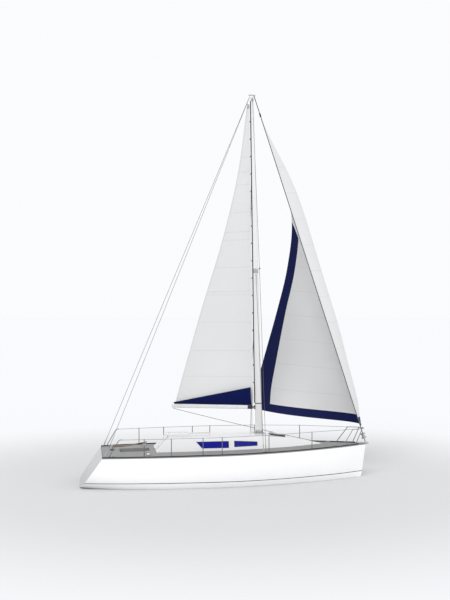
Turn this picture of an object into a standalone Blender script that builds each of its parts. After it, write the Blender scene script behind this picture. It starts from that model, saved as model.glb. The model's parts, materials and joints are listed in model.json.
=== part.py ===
"""A 9.6 m sloop-rigged sailing cruiser, built as separate sub-parts.

Metres. +X runs to the bow, +Y to port and +Z up.
The origin lies on the design waterline, on the centreline, halfway along the hull.
"""

import math

import bmesh
import bpy
from mathutils import Matrix, Vector

BOAT = "sailboat"
CUTTERS = "sailboat_cutters"

# Clearances
FIT = 0.0003
SLIDE = 0.0006
CLEAR = 0.006

# Hull and deck
SHEER_MID = 1.058
SHEER_SLOPE = 0.0126
HULL_WALL = 0.028
DECK_THICK = 0.03
DECK_CAMBER = 0.05
DECK_FLAT_EDGE = 0.10
HALF_RING = 10
STATIONS = 34

# Station table: x at the sheer, half beam, depth of the canoe body, squareness, rake
HULL_TABLE = [
    (-4.07, 1.340, 0.03, 3.6, 0.720),
    (-3.60, 1.410, 0.11, 3.8, 0.560),
    (-3.00, 1.480, 0.20, 4.0, 0.390),
    (-2.20, 1.550, 0.29, 4.0, 0.220),
    (-1.20, 1.600, 0.36, 3.6, 0.080),
    (0.00, 1.600, 0.395, 3.2, 0.000),
    (1.00, 1.470, 0.395, 3.0, 0.000),
    (2.00, 1.234, 0.37, 2.9, 0.000),
    (2.90, 0.940, 0.335, 2.8, 0.020),
    (3.60, 0.669, 0.29, 2.7, 0.040),
    (4.20, 0.385, 0.23, 2.4, 0.080),
    (4.55, 0.190, 0.16, 2.2, 0.115),
    (4.80, 0.045, 0.065, 2.0, 0.143),
]
HULL_INSIDE = (-3.80, 4.25)

# Coachroof table: x at the foot, x at the roof, half width at the deck, half width at the roof, roof height
CABIN_TABLE = [
    (-2.34, -1.98, 0.70, 0.60, 1.480),
    (-1.20, -1.20, 0.75, 0.64, 1.500),
    (0.00, 0.00, 0.75, 0.63, 1.510),
    (1.16, 1.16, 0.64, 0.52, 1.505),
    (2.05, 2.05, 0.45, 0.34, 1.405),
    (2.51, 2.51, 0.31, 0.22, 1.320),
    (3.00, 3.00, 0.12, 0.08, 1.210),
    (3.25, 3.25, 0.03, 0.02, 1.155),
]
CABIN_FOOT = 0.97
CABIN_WALL = 0.03
CABIN_CAMBER = 0.03
CABIN_INSIDE_END = 2.30

# Side window outlines: x and z of each corner
WINDOWS = {
    "aft": [(-1.05, 1.370), (-0.86, 1.165), (0.015, 1.165), (0.015, 1.370)],
    "forward": [(0.20, 1.185), (0.975, 1.205), (0.975, 1.325), (0.20, 1.375)],
}
PANE_RECESS = 0.006
PANE_THICK = 0.010

# Companionway
HATCH_AFT = -1.94
HATCH_LENGTH = 0.72
HATCH_HALF = 0.31
RUNNER_LENGTH = 1.42
RUNNER_SIZE = 0.030
RUNNER_RISE = 0.016
LID_THICK = 0.028
WASHBOARD = (1.13, 1.475)
WASHBOARD_THICK = 0.020

# Cockpit, lockers, forehatch and anchor locker
WELL = (-3.52, -2.50, 0.40)
WELL_FLOOR = 0.62
WELL_WALL = 0.02
LOCKER = (-3.42, -2.72, 0.50, 0.92)
LID_LEDGE = 0.025
LID_PLATE = 0.018
FOREHATCH = (1.50, 1.98, 0.24)
FRAME_WALL = 0.025
FRAME_RISE = 0.02
FORELID_THICK = 0.022
ANCHOR_LID = (3.72, 4.14, 0.20)

# Keel, rudder, drive
KEEL_ROOT = (0.89, -0.75)
KEEL_TIP = (0.45, -0.62)
KEEL_HALF = 0.085
KEEL_DEPTH = 1.55
BULB = (-0.95, 0.75, 0.17)
BULB_DEPTH = 1.62
RUDDER_X = -3.74
STOCK_RADIUS = 0.028
RUDDER_DEPTH = 1.50
RUDDER_TOP = 0.24
DRIVE_X = -1.90
DRIVE_DEPTH = 0.70
PROP_RADIUS = 0.20
PROP_BLADES = 3
# Share of the chord and share of the half thickness
FOIL_SHAPE = [(0.0, 0.0), (0.04, 0.55), (0.15, 0.90), (0.32, 1.0), (0.55, 0.80), (0.80, 0.38), (1.0, 0.04)]

# Spars
MAST_FOOT = Vector((1.135, 0.0, 1.56))
MAST_HEAD = Vector((0.905, 0.0, 12.80))
MAST_FOOT_CHORD = 0.240
MAST_HEAD_CHORD = 0.090
MAST_FINENESS = 0.66
TRACK_DEPTH = 0.030
AXIS_OFFSET = 0.014
BOOM_HEIGHT = 2.400
BOOM_LENGTH = 2.92
BOOM_DEPTH = 0.135
BOOM_WIDTH = 0.095
BOOM_EASED = math.radians(26.0)
SPREADER_HEIGHT = 6.95
SPREADER_SPAN = 0.88

# Rigging
STAY_FOOT = Vector((4.80, 0.0, 1.175))
STAY_HEAD = Vector((0.985, 0.0, 12.75))
STEM_TOP = 1.160
WIRE = 0.0065
FOIL = 0.014
DRUM = (1.30, 1.46, 0.085)

# Guard rails
STANCHIONS = [-2.78, -1.93, -0.93, -0.32, 1.22, 2.73]
RAIL_INSET = 0.066
RAIL_HEIGHT = 0.56
TUBE = 0.0125
LINE = 0.006
PULPIT_OPEN = math.radians(71)
PULPIT = Vector((4.05, 0.0, 1.64))
PULPIT_REACH = 0.69
PULPIT_HALF = 0.36

# Sails. Genoa table: height up the stay, leech x, y and z, entry angle and exit angle in degrees from aft
GENOA_TABLE = [
    (1.70, 1.20, 1.22, 2.23, 115.0, 12.0),
    (2.60, 1.36, 1.70, 2.98, 132.0, 10.0),
    (3.70, 1.73, 2.12, 4.05, 139.0, 14.0),
    (5.20, 2.18, 2.30, 5.50, 149.0, 22.0),
    (6.90, 2.55, 2.14, 7.15, 148.0, 32.0),
    (8.60, 2.60, 1.62, 8.80, 147.0, 45.0),
    (10.30, 2.10, 0.95, 10.42, 145.0, 55.0),
    (12.00, 1.245, 0.035, 12.02, 100.0, 80.0),
]
GENOA_FOOT_ROUND = 0.16
# Mainsail table: height up the luff, chord, angle from the boom, depth as a share of the chord
MAIN_TABLE = [
    (2.4748, 2.78, 0.0, 0.005),
    (3.00, 2.64, 0.5, 0.030),
    (4.20, 2.28, 1.5, 0.075),
    (6.00, 1.72, 3.0, 0.095),
    (8.00, 1.05, 5.0, 0.100),
    (10.20, 0.46, 7.0, 0.090),
    (12.55, 0.07, 8.0, 0.020),
]
SAIL_THICK = 0.008
SAIL_ACROSS = 10
SAIL_UP = 18
BAG_HEIGHT = 0.60
BAG_END_HEIGHT = 0.05
BAG_SECTIONS = 7
# Half width and share of the bag's height, up one side
BAG_SIDE = [(0.035, 0.0), (0.090, 0.30), (0.118, 0.65), (0.125, 1.0)]
BAG_WALL = 0.006

WHITE = (0.90, 0.90, 0.90)
STEEL = (0.62, 0.63, 0.65)
NAVY = (0.004, 0.010, 0.075)
BLACK = (0.02, 0.02, 0.02)
GREY = (0.36, 0.36, 0.36)


# General helpers

def clear_scene():
    for item in list(bpy.data.objects):
        bpy.data.objects.remove(item, do_unlink=True)


def collection(name, hidden=False):
    found = bpy.data.collections.get(name)
    if found is None:
        found = bpy.data.collections.new(name)
        bpy.context.scene.collection.children.link(found)
    found.hide_render = hidden
    return found


def material(name, colour, roughness=0.4, metallic=0.0):
    made = bpy.data.materials.new(name)
    made.use_nodes = True
    shader = made.node_tree.nodes["Principled BSDF"]
    shader.inputs["Base Color"].default_value = (*colour, 1.0)
    shader.inputs["Roughness"].default_value = roughness
    shader.inputs["Metallic"].default_value = metallic
    made.diffuse_color = (*colour, 1.0)
    return made


def from_bmesh(name, mesh, looks=None):
    """Turns a bmesh into an object of the boat."""
    bmesh.ops.triangulate(mesh, faces=mesh.faces[:], quad_method="FIXED")
    bmesh.ops.recalc_face_normals(mesh, faces=mesh.faces[:])
    data = bpy.data.meshes.new(name)
    mesh.to_mesh(data)
    mesh.free()
    thing = bpy.data.objects.new(name, data)
    collection(BOAT).objects.link(thing)
    if looks:
        finish(thing, *looks)
    return thing


def finish(thing, colour, roughness=0.4, metallic=0.0):
    thing.data.materials.clear()
    thing.data.materials.append(material(thing.name, colour, roughness, metallic))


def loft(name, rings, looks=None):
    """Solid through rings of equal count, closed by flat ends."""
    mesh = bmesh.new()
    rows = [[mesh.verts.new(point) for point in ring] for ring in rings]
    for first, second in zip(rows, rows[1:]):
        for i in range(len(first)):
            j = (i + 1) % len(first)
            mesh.faces.new((first[i], first[j], second[j], second[i]))
    mesh.faces.new(rows[0])
    mesh.faces.new(list(reversed(rows[-1])))
    return from_bmesh(name, mesh, looks)


def box(name, low, high, looks=None, turn=None):
    """Box between two corners, turned about its own middle."""
    low = Vector(low)
    high = Vector(high)
    mesh = bmesh.new()
    bmesh.ops.create_cube(mesh, size=1.0)
    place = Matrix.Translation((low + high) / 2)
    if turn:
        place = place @ turn
    bmesh.ops.transform(mesh, matrix=place @ Matrix.Diagonal((*(high - low), 1.0)), verts=mesh.verts[:])
    return from_bmesh(name, mesh, looks)


def rod(name, start, end, radius, looks=None, sides=16, end_radius=None):
    """Cylinder or cone between two points."""
    start = Vector(start)
    end = Vector(end)
    along = end - start
    mesh = bmesh.new()
    bmesh.ops.create_cone(mesh, cap_ends=True, segments=sides, radius1=radius,
                          radius2=radius if end_radius is None else end_radius, depth=along.length)
    turn = Vector((0, 0, 1)).rotation_difference(along).to_matrix().to_4x4()
    bmesh.ops.transform(mesh, matrix=Matrix.Translation((start + end) / 2) @ turn, verts=mesh.verts[:])
    return from_bmesh(name, mesh, looks)


def tube(name, points, radius, looks=None, resolution=2):
    """Round tube or wire along straight stretches, as a closed mesh."""
    curve = bpy.data.curves.new(name, "CURVE")
    curve.dimensions = "3D"
    curve.bevel_depth = radius
    curve.bevel_resolution = resolution
    curve.use_fill_caps = True
    spline = curve.splines.new("POLY")
    spline.points.add(len(points) - 1)
    for slot, point in zip(spline.points, points):
        slot.co = (*point, 1.0)
    holder = bpy.data.objects.new(name + "_curve", curve)
    collection(BOAT).objects.link(holder)
    made = settle(holder, name)
    if looks:
        finish(made, *looks)
    return made


def settle(thing, name=None):
    """Mesh object that holds a thing's evaluated shape, in place of the thing."""
    bpy.context.view_layer.update()
    graph = bpy.context.evaluated_depsgraph_get()
    data = bpy.data.meshes.new_from_object(thing.evaluated_get(graph))
    name = name or thing.name
    place = thing.matrix_world.copy()
    bpy.data.objects.remove(thing, do_unlink=True)
    mesh = bmesh.new()
    mesh.from_mesh(data)
    bmesh.ops.remove_doubles(mesh, verts=mesh.verts[:], dist=1e-6)
    bmesh.ops.triangulate(mesh, faces=mesh.faces[:], quad_method="FIXED")
    mesh.to_mesh(data)
    mesh.free()
    data.name = name
    made = bpy.data.objects.new(name, data)
    made.matrix_world = place
    collection(BOAT).objects.link(made)
    return made


def combine(target, tool, operation):
    """Booleans a tool into a target; the tool goes to the cutters."""
    change = target.modifiers.new(operation.lower(), "BOOLEAN")
    change.operation = operation
    change.object = tool
    change.solver = "EXACT"
    tool.hide_render = True
    tool.display_type = "WIRE"
    for holder in list(tool.users_collection):
        holder.objects.unlink(tool)
    collection(CUTTERS, hidden=True).objects.link(tool)
    return target


def turned(name, start, end, profile, looks=None, sides=20):
    """Turned solid between two points; the profile's columns are share of the length and radius."""
    start = Vector(start)
    along = Vector(end) - start
    turn = Vector((0, 0, 1)).rotation_difference(along)
    rings = []
    for share, radius in profile:
        ring = []
        for i in range(sides):
            angle = 2 * math.pi * i / sides
            ring.append(start + along * share + turn @ Vector((radius * math.cos(angle), radius * math.sin(angle), 0)))
        rings.append(ring)
    return loft(name, rings, looks)


def cut(target, *tools):
    for tool in tools:
        combine(target, tool, "DIFFERENCE")
    return target


def join(target, *tools):
    for tool in tools:
        combine(target, tool, "UNION")
    return target


def pivot(thing, point):
    """Puts a moving piece's origin on its joint."""
    point = Vector(point)
    thing.data.transform(Matrix.Translation(-point))
    thing.location = point
    return thing


def smooth_column(table, column, x):
    """Reads a table's column at x along a smooth curve through its rows."""
    xs = [row[0] for row in table]
    last = len(table) - 1
    k = max(0, min(last - 1, sum(1 for value in xs if value <= x) - 1))

    def slope(i):
        low = max(0, i - 1)
        high = min(last, i + 1)
        return (table[high][column] - table[low][column]) / (xs[high] - xs[low])

    span = xs[k + 1] - xs[k]
    t = (x - xs[k]) / span
    a = table[k][column]
    b = table[k + 1][column]
    return (
        a * (1 + 2 * t) * (1 - t) ** 2 + b * t * t * (3 - 2 * t)
        + span * (slope(k) * t * (1 - t) ** 2 - slope(k + 1) * t * t * (1 - t))
    )


# Hull form

def sheer(x):
    return SHEER_MID + SHEER_SLOPE * x


def half_beam(x):
    return smooth_column(HULL_TABLE, 1, x)


def station_xs(first=HULL_TABLE[0][0], last=HULL_TABLE[-1][0], count=STATIONS):
    """Stations from aft to forward, closer together towards the bow."""
    shares = [i / (count - 1) for i in range(count)]
    return [first + (last - first) * 0.5 * (t + math.sin(0.5 * math.pi * t)) for t in shares]


def hull_ring(x, outset=0.0, top=None):
    """One closed section of the hull, from the port sheer round the keel to starboard."""
    beam = half_beam(x) + outset
    squareness = smooth_column(HULL_TABLE, 3, x)
    rake = smooth_column(HULL_TABLE, 4, x)
    high = sheer(x)
    low = -smooth_column(HULL_TABLE, 2, x) - outset
    ring = []
    for i in range(2 * HALF_RING + 1):
        angle = math.pi * i / (2 * HALF_RING)
        across = math.copysign(abs(math.cos(angle)) ** (2 / squareness), math.cos(angle))
        if 2 * i == 2 * HALF_RING:
            across = 0.0
        down = math.sin(angle) ** (2 / squareness) if 0 < i < 2 * HALF_RING else 0.0
        z = high - (high - low) * down
        ring.append((x - rake * (high - z), beam * across, z))
    rim = (high if top is None else high + top) - (DECK_THICK + FIT if top is None else 0.0)
    for end in (0, -1):
        ring[end] = (x - rake * (high - rim), ring[end][1], rim)
    return ring


def hull_solid(name, outset=0.0, looks=None):
    return loft(name, [hull_ring(x, outset) for x in station_xs()], looks)


def edge_width(x):
    return min(DECK_FLAT_EDGE, 0.5 * half_beam(x))


def deck_top(x, y):
    """Height of the deck's top, flat along the edges and crowned between them."""
    inner = half_beam(x) - edge_width(x)
    share = min(1.0, abs(y) / inner)
    crown = 1.0 - 0.4 * share / 0.5 if share < 0.5 else 0.6 * (1.0 - share) / 0.5
    return sheer(x) + DECK_CAMBER * crown * min(1.0, inner / 0.8)


def build_hull():
    hull = hull_solid("hull", looks=(WHITE, 0.25))
    inside = [hull_ring(x, -HULL_WALL, top=0.2) for x in station_xs(*HULL_INSIDE, count=26)]
    cut(hull, loft("hull_inside", inside))
    cut(hull, rod("stock_hole", (RUDDER_X, 0, -0.6), (RUDDER_X, 0, 0.3), STOCK_RADIUS + 0.002))
    return hull


def deck_ring(x, over, under):
    """Section of a skin that reaches so far over and under the deck's top surface."""
    beam = half_beam(x)
    inner = beam - edge_width(x)
    across = [beam, inner, 0.5 * inner, 0.0, -0.5 * inner, -inner, -beam]
    top = [(x, y, deck_top(x, y)) for y in across]
    return [(x, y, z + over) for x, y, z in top] + [(x, y, z - under) for x, y, z in reversed(top)]


def deck_skin(name, over, under, looks=None):
    return loft(name, [deck_ring(x, over, under) for x in station_xs()], looks)


def deck_patch(name, low, high, over, under, looks=None):
    """Piece of the deck's skin between two corners given as x and y."""
    patch = deck_skin(name, over, under, looks)
    return combine(patch, box(name + "_outline", (*low, 0.5), (*high, 1.9)), "INTERSECT")


def seat_on_deck(thing):
    """Trims a piece's foot to the deck's own surface."""
    seat = bpy.data.objects.get("deck_seat")
    if seat is None:
        seat = deck_skin("deck_seat", FIT, DECK_THICK + FIT)
    return cut(thing, seat)


def seat_on_roof(thing):
    """Trims a piece's foot to the coachroof's own surface."""
    seat = bpy.data.objects.get("roof_seat")
    if seat is None:
        seat = cabin_solid("roof_seat", FIT)
    return cut(thing, seat)


def seat_under_hull(thing):
    """Trims a piece's top to the hull's outer surface."""
    seat = bpy.data.objects.get("hull_seat")
    if seat is None:
        seat = hull_solid("hull_seat", 0.0004)
    return cut(thing, seat)


def rebate(name, low, high):
    """Two cutters for a lid: its seat in the deck and the smaller opening under it."""
    seat = deck_patch(name + "_seat", (low[0] - CLEAR, low[1] - CLEAR), (high[0] + CLEAR, high[1] + CLEAR),
                      0.02, LID_PLATE + SLIDE)
    way = box(name + "_way", (low[0] + LID_LEDGE, low[1] + LID_LEDGE, 0.8),
              (high[0] - LID_LEDGE, high[1] - LID_LEDGE, 1.4))
    return seat, way


def locker_corners(side):
    """Lowest and highest corner of a cockpit locker's lid, as x and y."""
    low_x, high_x, low_y, high_y = LOCKER
    ys = sorted((side * low_y, side * high_y))
    return (low_x, ys[0]), (high_x, ys[1])


def anchor_corners():
    aft, fore, half = ANCHOR_LID
    return (aft, -half), (fore, half)


def build_deck():
    deck = deck_skin("deck", 0.0, DECK_THICK, (GREY, 0.7))
    cut(deck, cabin_solid("cabin_way", 0.0004))
    aft, fore, half = WELL
    cut(deck, box("well_way", (aft - FIT, -half - FIT, 0.5), (fore + FIT, half + FIT, 1.4)))
    cut(deck, rod("stock_way", (RUDDER_X, 0, 0.8), (RUDDER_X, 0, 1.3), STOCK_RADIUS + 0.012))
    for side in (-1, 1):
        cut(deck, *rebate(f"locker_{side}", *locker_corners(side)))
    cut(deck, *rebate("anchor", *anchor_corners()))
    return deck


# Coachroof and cockpit

def cabin_value(column, x):
    """Reads the coachroof table between its rows, straight."""
    for first, second in zip(CABIN_TABLE, CABIN_TABLE[1:]):
        if x <= second[0]:
            t = (x - first[0]) / (second[0] - first[0])
            return first[column] + t * (second[column] - first[column])
    return CABIN_TABLE[-1][column]


def cabin_ring(row, outset=0.0, foot=CABIN_FOOT, aft_shift=0.0):
    """One closed section of the coachroof, from the starboard foot over the roof to port."""
    foot_x, roof_x, deck_half, roof_half, roof = row
    level = deck_top(foot_x, deck_half)
    high = roof + outset
    lean = (deck_half - roof_half) / (roof - level)
    slope = (roof_x - foot_x) / (roof - level)
    shoulder = roof - 0.07 * min(1.0, (roof - level) / 0.4) + outset * 0.5

    def wall(z):
        return roof_half + (roof - z) * lean + outset

    half = [(wall(foot), foot), (wall(shoulder), shoulder), (roof_half * 0.93 + outset, high),
            (roof_half * 0.5, high + CABIN_CAMBER * 0.7 * min(1.0, roof_half / 0.5))]
    ridge = (0.0, high + CABIN_CAMBER * min(1.0, roof_half / 0.5))
    outline = [(-y, z) for y, z in half] + [ridge] + [(y, z) for y, z in reversed(half)]
    return [(foot_x + slope * (z - level) + aft_shift, y, z) for y, z in outline]


def cabin_solid(name, outset=0.0, looks=None, foot=CABIN_FOOT):
    rings = [cabin_ring(row, outset, foot) for row in CABIN_TABLE]
    rings[0] = cabin_ring(CABIN_TABLE[0], outset, foot, aft_shift=-outset)
    rings[-1] = cabin_ring(CABIN_TABLE[-1], outset, foot, aft_shift=outset)
    return loft(name, rings, looks)


def cabin_inside(name, wall, foot=0.80):
    """Space inside the coachroof's wall, open at the foot."""
    rows = [row for row in CABIN_TABLE if row[0] < CABIN_INSIDE_END]
    end = (CABIN_INSIDE_END, CABIN_INSIDE_END, *[cabin_value(c, CABIN_INSIDE_END) for c in (2, 3, 4)])
    rings = [cabin_ring(row, -wall, foot) for row in rows + [end]]
    rings[0] = cabin_ring(rows[0], -wall, foot, aft_shift=wall * 1.3)
    return loft(name, rings)


def roof_top(x, y=0.0):
    """Height of the coachroof's top at x and y."""
    roof_half = cabin_value(3, x)
    crown = CABIN_CAMBER * min(1.0, roof_half / 0.5)
    share = abs(y) / roof_half
    if share < 0.5:
        return cabin_value(4, x) + crown * (1.0 - 0.3 * share / 0.5)
    return cabin_value(4, x) + crown * 0.7 * max(0.0, (0.93 - share) / 0.43)


def prism(name, outline, low_y, high_y, inset=0.0):
    """Outline of x and z, swept between two values of y, drawn in towards its middle."""
    middle = Vector((sum(p[0] for p in outline), sum(p[1] for p in outline))) / len(outline)
    corners = []
    for x, z in outline:
        away = Vector((x, z)) - middle
        corners.append(middle + away * (1.0 - inset / away.length))
    return loft(name, [[(c.x, y, c.y) for c in corners] for y in (low_y, high_y)])


def build_coachroof():
    roof = cabin_solid("coachroof", looks=(WHITE, 0.3))
    cut(roof, cabin_inside("cabin_space", CABIN_WALL))
    for label, outline in WINDOWS.items():
        cut(roof, prism(f"window_way_{label}", outline, -1.0, 1.0))
    cut(roof, box("hatch_way", (HATCH_AFT - 0.6, -HATCH_HALF + 0.03, 1.16),
                  (HATCH_AFT + HATCH_LENGTH - 0.04, HATCH_HALF - 0.03, 1.8)))
    aft, fore, half = FOREHATCH
    cut(roof, box("forehatch_way", (aft - FIT, -half - FIT, 1.2), (fore + FIT, half + FIT, 1.8)))
    return roof


def build_windows():
    for label, outline in WINDOWS.items():
        for side, low, high in (("starboard", -1.0, 0.0), ("port", 0.0, 1.0)):
            name = f"window_{label}_{side}"
            pane = cabin_solid(name, -PANE_RECESS, ((0.0, 0.005, 0.26), 0.08))
            cut(pane, cabin_inside(name + "_back", PANE_RECESS + PANE_THICK))
            combine(pane, prism(name + "_outline", outline, low, high, inset=0.0008), "INTERSECT")


def runner_height():
    return roof_top(HATCH_AFT + RUNNER_LENGTH) + RUNNER_RISE


def build_companionway():
    """Runners on the roof, the hatch that slides on them, and the washboard below it."""
    top = runner_height()
    fore = HATCH_AFT + RUNNER_LENGTH
    outer = HATCH_HALF + RUNNER_SIZE
    runners = box("hatch_runners", (HATCH_AFT, -outer, 1.40), (fore, outer, top), (WHITE, 0.4))
    cut(runners, box("runner_gap", (HATCH_AFT - 1, -outer + RUNNER_SIZE, 1.3),
                     (fore - RUNNER_SIZE, outer - RUNNER_SIZE, 1.8)))
    seat_on_roof(runners)
    hatch = box("companionway_hatch", (HATCH_AFT - 0.02, -outer, top + SLIDE),
                (HATCH_AFT + HATCH_LENGTH, outer, top + SLIDE + LID_THICK), (WHITE, 0.35))
    pivot(hatch, (HATCH_AFT, 0, top + SLIDE))
    slope = (CABIN_TABLE[0][1] - CABIN_TABLE[0][0]) / (CABIN_TABLE[0][4] - deck_top(CABIN_TABLE[0][0], 0.7))

    def face_x(z):
        return CABIN_TABLE[0][1] - slope * (CABIN_TABLE[0][4] - z)

    half = HATCH_HALF + 0.01
    rings = []
    for z in WASHBOARD:
        x = face_x(z) - SLIDE
        back = x - WASHBOARD_THICK
        rings.append([(x, -half, z), (x, half, z), (back, half, z), (back, -half, z)])
    loft("companionway_washboard", rings, (WHITE, 0.35))


def build_cockpit():
    aft, fore, half = WELL
    wall = WELL_WALL
    well = box("cockpit_well", (aft, -half, WELL_FLOOR), (fore, half, 1.2), (GREY, 0.7))
    cut(well, box("well_space", (aft + wall, -half + wall, WELL_FLOOR + wall), (fore - wall, half - wall, 1.5)))
    cut(well, deck_skin("well_rim", 0.4, 0.0))
    middle = (LOCKER[0] + LOCKER[1]) / 2
    for label, side in (("starboard", -1), ("port", 1)):
        lid = deck_patch(f"locker_lid_{label}", *locker_corners(side), 0.0, LID_PLATE, (GREY, 0.6))
        pivot(settle(lid), (middle, side * LOCKER[3], deck_top(middle, LOCKER[3])))


def build_forehatch():
    aft, fore, half = FOREHATCH
    tilt = math.atan2(roof_top(fore) - roof_top(aft), fore - aft)
    turn = Matrix.Rotation(-tilt, 4, "Y")
    middle = roof_top((aft + fore) / 2)
    frame = box("forehatch_frame", (aft, -half, middle - 0.09), (fore, half, middle + FRAME_RISE), (BLACK, 0.4),
                turn)
    cut(frame, box("forehatch_space", (aft + FRAME_WALL, -half + FRAME_WALL, middle - 0.3),
                   (fore - FRAME_WALL, half - FRAME_WALL, middle + 0.2), turn=turn))
    cut(frame, box("forehatch_trim_aft", (aft - 0.2, -1, 1.0), (aft, 1, 2.0)))
    cut(frame, box("forehatch_trim_fore", (fore, -1, 1.0), (fore + 0.2, 1, 2.0)))
    seat = middle + FRAME_RISE
    lid = box("forehatch_lid", (aft, -half, seat + SLIDE), (fore, half, seat + SLIDE + FORELID_THICK),
              ((0.03, 0.04, 0.05), 0.1), turn)
    pivot(lid, (fore, 0, seat + (fore - aft) / 2 * math.tan(tilt)))


def build_anchor_lid():
    lid = deck_patch("anchor_locker_lid", *anchor_corners(), 0.0, LID_PLATE, (GREY, 0.6))
    pivot(settle(lid), (ANCHOR_LID[0], 0, deck_top(ANCHOR_LID[0], 0)))


# Below the water

def foil_ring(leading, trailing, half, z, y=0.0):
    """Streamlined section; leading edge forward."""
    side = [(leading + (trailing - leading) * s, half * w) for s, w in FOIL_SHAPE]
    return [(x, y + w, z) for x, w in side] + [(x, y - w, z) for x, w in reversed(side[1:])]


def build_keel():
    keel = loft("keel", [
        foil_ring(*KEEL_ROOT, KEEL_HALF, -0.25),
        foil_ring(*KEEL_TIP, KEEL_HALF * 0.8, -KEEL_DEPTH),
    ], ((0.05, 0.06, 0.10), 0.6))
    seat_under_hull(keel)
    aft, fore, radius = BULB
    rings = []
    for share, size in ((0.0, 0.25), (0.06, 0.6), (0.2, 0.9), (0.4, 1.0), (0.65, 0.8), (0.85, 0.5), (1.0, 0.12)):
        x = fore + (aft - fore) * share
        ring = []
        for i in range(12):
            angle = 2 * math.pi * i / 12
            z = -BULB_DEPTH + 0.75 * radius * size * math.sin(angle)
            ring.append((x, radius * size * math.cos(angle), max(z, -BULB_DEPTH - 0.09)))
        rings.append(ring)
    join(keel, loft("keel_bulb", rings))
    return keel


def build_rudder():
    top = -RUDDER_TOP
    rudder = loft("rudder", [
        foil_ring(RUDDER_X + 0.13, RUDDER_X - 0.42, 0.040, top),
        foil_ring(RUDDER_X + 0.09, RUDDER_X - 0.27, 0.024, -RUDDER_DEPTH),
    ], ((0.05, 0.06, 0.10), 0.6))
    stock_top = deck_top(RUDDER_X, 0) + 0.10
    join(rudder, rod("rudder_stock", (RUDDER_X, 0, -RUDDER_DEPTH + 0.4), (RUDDER_X, 0, stock_top), STOCK_RADIUS))
    pivot(rudder, (RUDDER_X, 0, top))
    level = deck_top(RUDDER_X, 0)
    bearing = rod("rudder_bearing", (RUDDER_X, 0, level - 0.02), (RUDDER_X, 0, level + 0.035), 0.065,
                  (BLACK, 0.4), sides=24)
    cut(bearing, rod("bearing_bore", (RUDDER_X, 0, 0.9), (RUDDER_X, 0, 1.4), STOCK_RADIUS + SLIDE))
    seat_on_deck(bearing)
    head = rod("tiller", (RUDDER_X, 0, stock_top + FIT), (RUDDER_X, 0, stock_top + 0.05), 0.045,
               ((0.33, 0.14, 0.05), 0.35))
    bar = []
    for share, half_y, half_z in ((0.0, 0.028, 0.022), (0.35, 0.024, 0.020), (1.0, 0.014, 0.014)):
        x = RUDDER_X + 0.02 + 1.12 * share
        z = stock_top + 0.026 + 0.13 * share ** 1.4
        bar.append([(x, half_y, z - half_z), (x, half_y, z + half_z), (x, -half_y, z + half_z),
                    (x, -half_y, z - half_z)])
    join(head, loft("tiller_bar", bar))
    pivot(head, (RUDDER_X, 0, top))


def build_drive():
    """Engine block on the hull's bottom, the saildrive leg and the propeller."""
    engine = box("engine", (-1.72, -0.25, -0.60), (-0.98, 0.25, 0.36), ((0.25, 0.26, 0.27), 0.6))
    inside = [hull_ring(x, -HULL_WALL - 0.0004, top=0.2) for x in station_xs(*HULL_INSIDE, count=26)]
    combine(engine, loft("engine_fit", inside), "INTERSECT")
    leg = loft("saildrive_leg", [
        foil_ring(DRIVE_X + 0.16, DRIVE_X - 0.14, 0.055, -0.15),
        foil_ring(DRIVE_X + 0.13, DRIVE_X - 0.11, 0.045, -DRIVE_DEPTH - 0.09),
    ], ((0.25, 0.26, 0.27), 0.5))
    seat_under_hull(leg)
    back = DRIVE_X - 0.20
    join(leg, turned("leg_body", (back, 0, -DRIVE_DEPTH), (DRIVE_X + 0.22, 0, -DRIVE_DEPTH),
                     [(0.0, 0.050), (0.7, 0.054), (0.88, 0.040), (1.0, 0.012)]))
    hub_start = back - SLIDE
    hub = turned("propeller", (hub_start, 0, -DRIVE_DEPTH), (hub_start - 0.15, 0, -DRIVE_DEPTH),
                 [(0.0, 0.046), (0.6, 0.036), (1.0, 0.010)], ((0.55, 0.36, 0.12), 0.3, 1.0))
    for blade in range(PROP_BLADES):
        join(hub, propeller_blade(f"blade_{blade}", hub_start - 0.047, 2 * math.pi * blade / PROP_BLADES))
    pivot(hub, (hub_start, 0, -DRIVE_DEPTH))


def propeller_blade(name, x, turn):
    """One twisted blade; columns: share of the radius, half chord, half thickness, pitch in degrees."""
    rings = []
    for share, chord, thick, pitch in ((0.12, 0.030, 0.010, 58), (0.5, 0.062, 0.007, 38), (0.8, 0.060, 0.005, 28),
                                       (1.0, 0.026, 0.003, 24)):
        angle = math.radians(pitch)
        flow = Vector((math.sin(angle), math.cos(angle), 0))
        face = Vector((math.cos(angle), -math.sin(angle), 0))
        ring = [flow * chord, flow * 0.4 * chord + face * thick, flow * -0.4 * chord + face * thick, flow * -chord,
                flow * -0.4 * chord - face * thick, flow * 0.4 * chord - face * thick]
        radius = PROP_RADIUS * share
        rings.append([Vector((p.x, p.y, radius)) for p in ring])
    spin = Matrix.Translation((x, 0, -DRIVE_DEPTH)) @ Matrix.Rotation(turn, 4, "X")
    return loft(name, [[spin @ p for p in ring] for ring in rings])


# Spars and standing rigging

def mast_centre(z):
    share = (z - MAST_FOOT.z) / (MAST_HEAD.z - MAST_FOOT.z)
    return MAST_FOOT.lerp(MAST_HEAD, share)


def mast_chord(z):
    share = (z - MAST_FOOT.z) / (MAST_HEAD.z - MAST_FOOT.z)
    return MAST_FOOT_CHORD + (MAST_HEAD_CHORD - MAST_FOOT_CHORD) * share


def mast_ring(z, outset=0.0):
    centre = mast_centre(z)
    along = mast_chord(z) / 2 + outset
    across = along * MAST_FINENESS
    return [(centre.x + along * math.cos(2 * math.pi * i / 16), across * math.sin(2 * math.pi * i / 16), z)
            for i in range(16)]


def mast_aft(z):
    return mast_centre(z).x - mast_chord(z) / 2


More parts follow.
